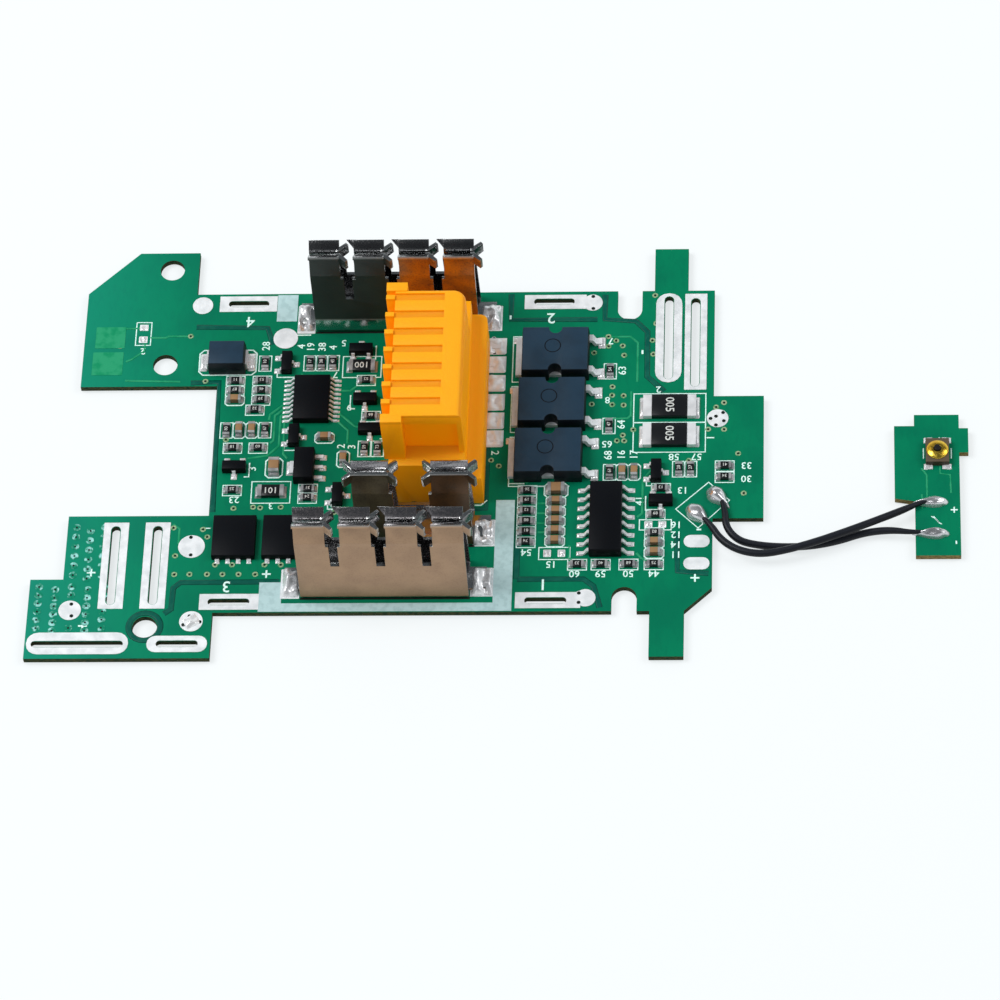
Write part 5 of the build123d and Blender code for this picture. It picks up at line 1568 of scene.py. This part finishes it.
@dataclass
class Packages:
    """Moulded bodies and their pins, with the value codes that resistors carry."""

    finishes: Finishes
    ground: Ground = field(default_factory=lambda: Ground.of("main_board"))

    def power_transistors(self) -> None:
        """Slate bodies with rounded edges and faint moulded rings."""
        marks = []
        for i in (1, 2, 3):
            body = softened([f"power_transistor_{i}_body"], 0.09)
            dress(body, f"power_moulding_{i}", self.finishes.power_body)
            paint(f"power_transistor_{i}_frame", self.finishes.pad)
            spot = on_top(*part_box(f"power_transistor_{i}_body"))
            marks.append(self.ring_mark(spot + Vector((-0.3 * MM, 0.4 * MM, 0))))
        dress(joined(marks), "ejector_marks", self.finishes.body)

    def ring_mark(self, spot: Vector) -> bpy.types.Object:
        """A faint round mark that an ejector pin leaves, as a thin ring.

        Args:
            spot: its middle, in metres.

        Returns:
            The mark.
        """
        deselect()
        bpy.ops.mesh.primitive_torus_add(
            location=spot,
            major_segments=40,
            minor_segments=6,
            major_radius=0.95 * MM,
            minor_radius=0.06 * MM,
        )
        made = bpy.context.object
        made.scale.z = 0.15
        bpy.ops.object.transform_apply(location=True, rotation=True, scale=True)
        return made

    def small_bodies(self) -> None:
        """Black bodies of every other package."""
        softer = {
            "controller_chip_body": 0.08,
            "balance_chip_body": 0.1,
            "protection_diode_body": 0.1,
            "regulator_body": 0.07,
            "small_transistor_bodies": 0.06,
            "flat_transistor_1_body": 0.07,
            "flat_transistor_2_body": 0.07,
        }
        for node, width in softer.items():
            finish = self.finishes.power_body if "diode" in node else self.finishes.body
            dress(softened([node], width), f"{node}_moulding", finish)
        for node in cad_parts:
            small_chip = "resistor" in node or "capacitor" in node
            if node.endswith(("_pins", "_ends")):
                paint(node, self.finishes.chip_end if small_chip else self.finishes.pin)

    def chips(self) -> None:
        """Glazed resistors and ceramic capacitors."""
        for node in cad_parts:
            if node.endswith("resistor_bodies") or node.startswith("shunt") and node.endswith("body"):
                dress(softened([node], 0.04), f"{node}_glaze", self.finishes.resistor)
            elif node.endswith("capacitor_bodies"):
                dress(softened([node], 0.05), f"{node}_fired", self.finishes.capacitor)

    def codes(self) -> None:
        """Plain value numbers on the resistors' tops."""
        parts = []
        for i in (1, 2):
            low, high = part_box(f"shunt_{i}_body")
            parts.append(number("005", on_top(low, high), -90, 1.05, 0.015))
        for text, (low, high) in zip(("101", "100"), loose_parts("large_resistor_bodies")):
            parts.append(number(text, on_top(low, high), 180, 0.85, 0.012))
        small = []
        for bank in RESISTOR_BANKS:
            small += loose_parts(f"{bank}_bodies")
        for index, (low, high) in enumerate(small):
            turn = 180 if high.x - low.x > high.y - low.y else 90
            value = str(10 + index * 7 % 83)
            parts.append(number(value, on_top(low, high), turn, 0.42, 0.008))
        dress(joined(parts), "value_codes", self.finishes.code)

    def build(self) -> None:
        """Builds all the packages."""
        self.power_transistors()
        self.small_bodies()
        self.chips()
        self.codes()


@dataclass
class PushSwitch:
    """The push switch's casing, gold cover, plunger, dome and legs."""

    finishes: Finishes
    dome_drop: float = 0.16

    def dome(self) -> None:
        """The snap dome, drawn as flat as the pressed plunger leaves it."""
        low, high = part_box("button_dome")
        middle = low.lerp(high, 0.5)
        radius = (high.x - low.x) / 2
        made = softened(["button_dome"], 0.01)
        for corner in made.data.vertices:
            reach = (corner.co.xy - middle.xy).length / radius
            corner.co.z -= self.dome_drop * MM * max(0.0, 1 - reach * reach)
        dress(made, "switch_dome", self.finishes.steel)

    def build(self) -> None:
        """Builds the switch."""
        casing = softened(["button_base"], 0.06)
        dress(casing, "switch_casing", self.finishes.casing)
        cover = softened(["button_cover"], 0.05)
        dress(cover, "switch_cover", self.finishes.gold)
        plunger = softened(["button_plunger"], 0.05)
        dress(plunger, "switch_plunger", self.finishes.button, PLUNGER)
        self.dome()
        paint("button_legs", self.finishes.pin)


@dataclass
class Lead:
    """One insulated lead: a soft tube that thins to its end in the solder."""

    name: str
    node: str
    finishes: Finishes
    length: float
    route: Route
    diameter: float = 0.9

    def build(self) -> bpy.types.Object:
        """Builds the lead from its route of x, y, z and thickness."""
        data = bpy.data.curves.new(self.name, "CURVE")
        data.dimensions = "3D"
        data.bevel_depth = self.diameter * MM / 2
        data.bevel_resolution = 5
        data.use_fill_caps = True
        data.resolution_u = 14
        spline = data.splines.new("NURBS")
        spline.points.add(len(self.route) - 1)
        for target, (x, y, z, thickness) in zip(spline.points, self.route):
            target.co = (x * MM, y * MM, z * MM, 1)
            target.radius = thickness
        spline.order_u = 3
        spline.use_endpoint_u = True
        made = bpy.data.objects.new(self.name, data)
        bpy.context.scene.collection.objects.link(made)
        dress(made, self.name, self.finishes.insulation)
        x, y, z, _ = self.route[0]
        x * MM
        y * MM
        z * MM
        self.diameter * MM
        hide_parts(self.node)
        return made


@dataclass
class Leads:
    """Both leads and the solder that holds their ends. A route is x, y, z and thickness."""

    finishes: Finishes
    main: Ground = field(default_factory=lambda: Ground.of("main_board"))
    switch: Ground = field(default_factory=lambda: Ground.of("switch_board"))
    positive: Route = (
        (23.5, -9.5, 1.35, 0.35), (25.1, -11.3, 1.4, 0.9), (26.3, -13.5, 1.4, 1),
        (28.4, -15.1, 1.45, 1), (31.2, -15.75, 1.55, 1), (34.3, -15.2, 1.7, 1),
        (37.8, -14.1, 1.8, 1), (41.3, -12.7, 1.8, 1), (44.8, -11.1, 1.65, 1), (48.0, -9.5, 1.4, 1),
        (50.4, -8.2, 1.3, 0.5), (52.4, -7.9, 1.3, 0.35),
    )  # fmt: skip
    negative: Route = (
        (26.2, -7.1, 1.35, 0.35), (26.9, -9.3, 1.35, 0.9), (26.9, -11.6, 1.3, 1),
        (28.3, -13.4, 1.05, 1), (30.4, -13.9, 0.75, 1), (33.4, -14.1, 0.55, 1),
        (36.8, -14.0, 0.5, 1), (40.2, -13.3, 0.5, 1), (43.3, -12.2, 0.65, 1),
        (46.4, -12.0, 0.95, 1), (49.4, -12.6, 1.25, 0.6), (52.5, -12.45, 1.3, 0.3),
    )  # fmt: skip

    def joint(
        self, low_end: Vector, high_end: Vector, width: float, height: float, seed: float
    ) -> bpy.types.Object:
        """A drop of solder drawn out along the lead.

        Args:
            low_end: where its thin end starts, in metres.
            high_end: where its round end stops, in metres.
            width: its widest, in millimetres.
            height: its height, in millimetres.
            seed: picks its shape.

        Returns:
            The drop.
        """
        run = high_end - low_end
        made = pillow(height * MM, seed, 0.25, 2.0)
        for vertex in made.data.vertices:
            share = vertex.co.x + 0.5
            swell = 0.28 + 0.72 * math.sin(min(1.0, share * 1.2) * math.pi * 0.6) ** 2
            vertex.co.y *= swell
            vertex.co.z *= 0.6 + 0.4 * swell
        turn = math.degrees(math.atan2(run.y, run.x))
        place = put((low_end + high_end) / 2, turn, (run.xy.length, width * MM, 1))
        made.data.transform(place)
        return made

    def build(self) -> None:
        """Builds the leads and their joints."""
        Lead("positive_lead_tube", "positive_lead", self.finishes, 33.07, self.positive).build()
        Lead("negative_lead_tube", "negative_lead", self.finishes, 31.32, self.negative).build()
        m = self.main
        main_joints = [
            self.joint(m.at(37.4, -11.2), m.at(34.6, -8.4), 2.3, 1.5, 1.0),
            self.joint(m.at(39.6, -8.7), m.at(37.1, -5.9), 2.3, 1.5, 2.0),
        ]
        blobs = joined(main_joints)
        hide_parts("main_board_joints")
        dress(blobs, "main_joint_solder", self.finishes.joint)
        s = self.switch
        switch_joints = [
            self.joint(s.at(-2.5, -2.75), s.at(1.9, -2.45), 1.55, 1.15, 3.0),
            self.joint(s.at(-2.45, -7.1), s.at(2.0, -6.95), 1.55, 1.15, 4.0),
        ]
        blobs = joined(switch_joints)
        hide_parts("switch_board_joints")
        dress(blobs, "switch_joint_solder", self.finishes.joint)


# Studio


@dataclass(frozen=True)
class Studio:
    """Pale floor, soft light, and the camera at the photograph's place."""

    lens: float = 187.98
    eye: tuple[float, float, float] = (0.0406, -0.3478, 0.5236)
    look: tuple[float, float, float] = (-0.0651, 0.5445, -0.8362)
    up: tuple[float, float, float] = (0.0055, 0.8382, 0.5454)
    paper: Colour = (0.95, 0.988, 1.0)
    ceiling: Colour = (0.1, 0.11, 0.12)
    ceiling_span: Point = (0.3, 0.62)
    room_light: float = 0.6
    floor_size: float = 6
    floor_drop: float = 0.0002
    floor_glow: float = 0.95
    floor_share: float = 0.75

    # name, place, length of a side and power of each lamp, in metres and watts
    lamps: tuple[tuple[str, tuple[float, float, float], float, float], ...] = (
        ("key", (-0.4, 0.05, 0.6), 0.35, 3.2),
        ("fill", (0.5, 0.1, 0.5), 0.3, 1.2),
    )

    def camera(self) -> None:
        """Puts the camera where the photograph was taken from."""
        data = bpy.data.cameras.new("camera")
        data.lens = self.lens
        data.sensor_width = 36
        data.clip_start = 0.02
        data.clip_end = 20
        camera = bpy.data.objects.new("camera", data)
        bpy.context.scene.collection.objects.link(camera)
        back = -Vector(self.look).normalized()
        right = Vector(self.up).cross(back).normalized()
        upward = back.cross(right)
        turned = Matrix((right, upward, back)).transposed().to_4x4()
        camera.matrix_world = Matrix.Translation(Vector(self.eye)) @ turned
        bpy.context.scene.camera = camera

    def lamp(self, name: str, spot: Sequence[float], size: float, power: float) -> None:
        """A square soft lamp that points at the board.

        Args:
            name: the lamp's name.
            spot: its place, in metres.
            size: the length of its side, in metres.
            power: its power, in watts.
        """
        data = bpy.data.lights.new(name, "AREA")
        data.size = size
        data.energy = power
        lamp = bpy.data.objects.new(name, data)
        bpy.context.scene.collection.objects.link(lamp)
        lamp.location = spot
        lamp.rotation_mode = "QUATERNION"
        lamp.rotation_quaternion = Vector(spot).to_track_quat("Z", "Y")

    def world(self) -> None:
        """Even surrounding light. Metal sees pale walls all round and a dim ceiling."""
        world = bpy.data.worlds.new("room")
        bpy.context.scene.world = world
        world.use_nodes = True
        room = Nodes(world.node_tree)
        _, _, height = room.axes(room.node("ShaderNodeTexCoord", output="Generated"))
        camera = room.node("ShaderNodeLightPath", output="Is Camera Ray")
        through = room.node("ShaderNodeLightPath", output="Is Transmission Ray")
        glossy = room.node("ShaderNodeLightPath", output="Is Glossy Ray")
        ceiling = height.step(*self.ceiling_span) * glossy
        colour = room.blend(ceiling, self.paper, self.ceiling)
        seen = camera.maths("MAXIMUM", through).maths("MAXIMUM", glossy)
        strength = seen * (1 - self.room_light) + self.room_light
        inputs = {"Color": colour, "Strength": strength}
        room.finish(room.node("ShaderNodeBackground", None, inputs), "ShaderNodeOutputWorld")

    def floor(self) -> None:
        """A wide pale sheet that keeps the board's soft shadow."""
        deselect()
        bpy.ops.mesh.primitive_plane_add(size=self.floor_size, location=(0, 0, -self.floor_drop))
        sheet = bpy.context.object
        sheet.name = "floor"
        bpy.ops.object.transform_apply(location=True, rotation=True, scale=True)
        r = Recipe("floor_paper")
        paper = r.node("ShaderNodeBsdfDiffuse", None, {"Color": (*self.paper, 1)})
        inputs = {"Color": (*self.paper, 1), "Strength": self.floor_glow}
        glow = r.node("ShaderNodeEmission", None, inputs)
        seen = r.node("ShaderNodeLightPath", output="Is Camera Ray")
        mirrored = r.node("ShaderNodeLightPath", output="Is Glossy Ray")
        share = seen.maths("MAXIMUM", mirrored) * self.floor_share
        mixed = r.node("ShaderNodeMixShader", None, {0: share, 1: paper, 2: glow})
        r.finish(mixed)
        sheet.data.materials.append(r.material)

    def build(self) -> None:
        """Builds the studio."""
        bpy.context.scene.view_settings.view_transform = "Standard"
        self.camera()
        self.world()
        for lamp in self.lamps:
            self.lamp(*lamp)
        self.floor()


def main() -> None:
    """Builds the studio and every sub-assembly."""
    logging.basicConfig(level=logging.INFO, format="%(name)s %(message)s")
    Studio().build()
    finishes = Finishes()
    Leads(finishes).build()
    for assembly in (
        MainBoard(finishes),
        SwitchBoard(finishes),
        SolderWork(finishes),
        BladeClips(finishes),
        SignalConnector(finishes),
        Packages(finishes),
        PushSwitch(finishes),
    ):
        log.info("building %s", type(assembly).__name__)
        assembly.build()
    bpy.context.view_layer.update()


if __name__ == "__main__":
    main()
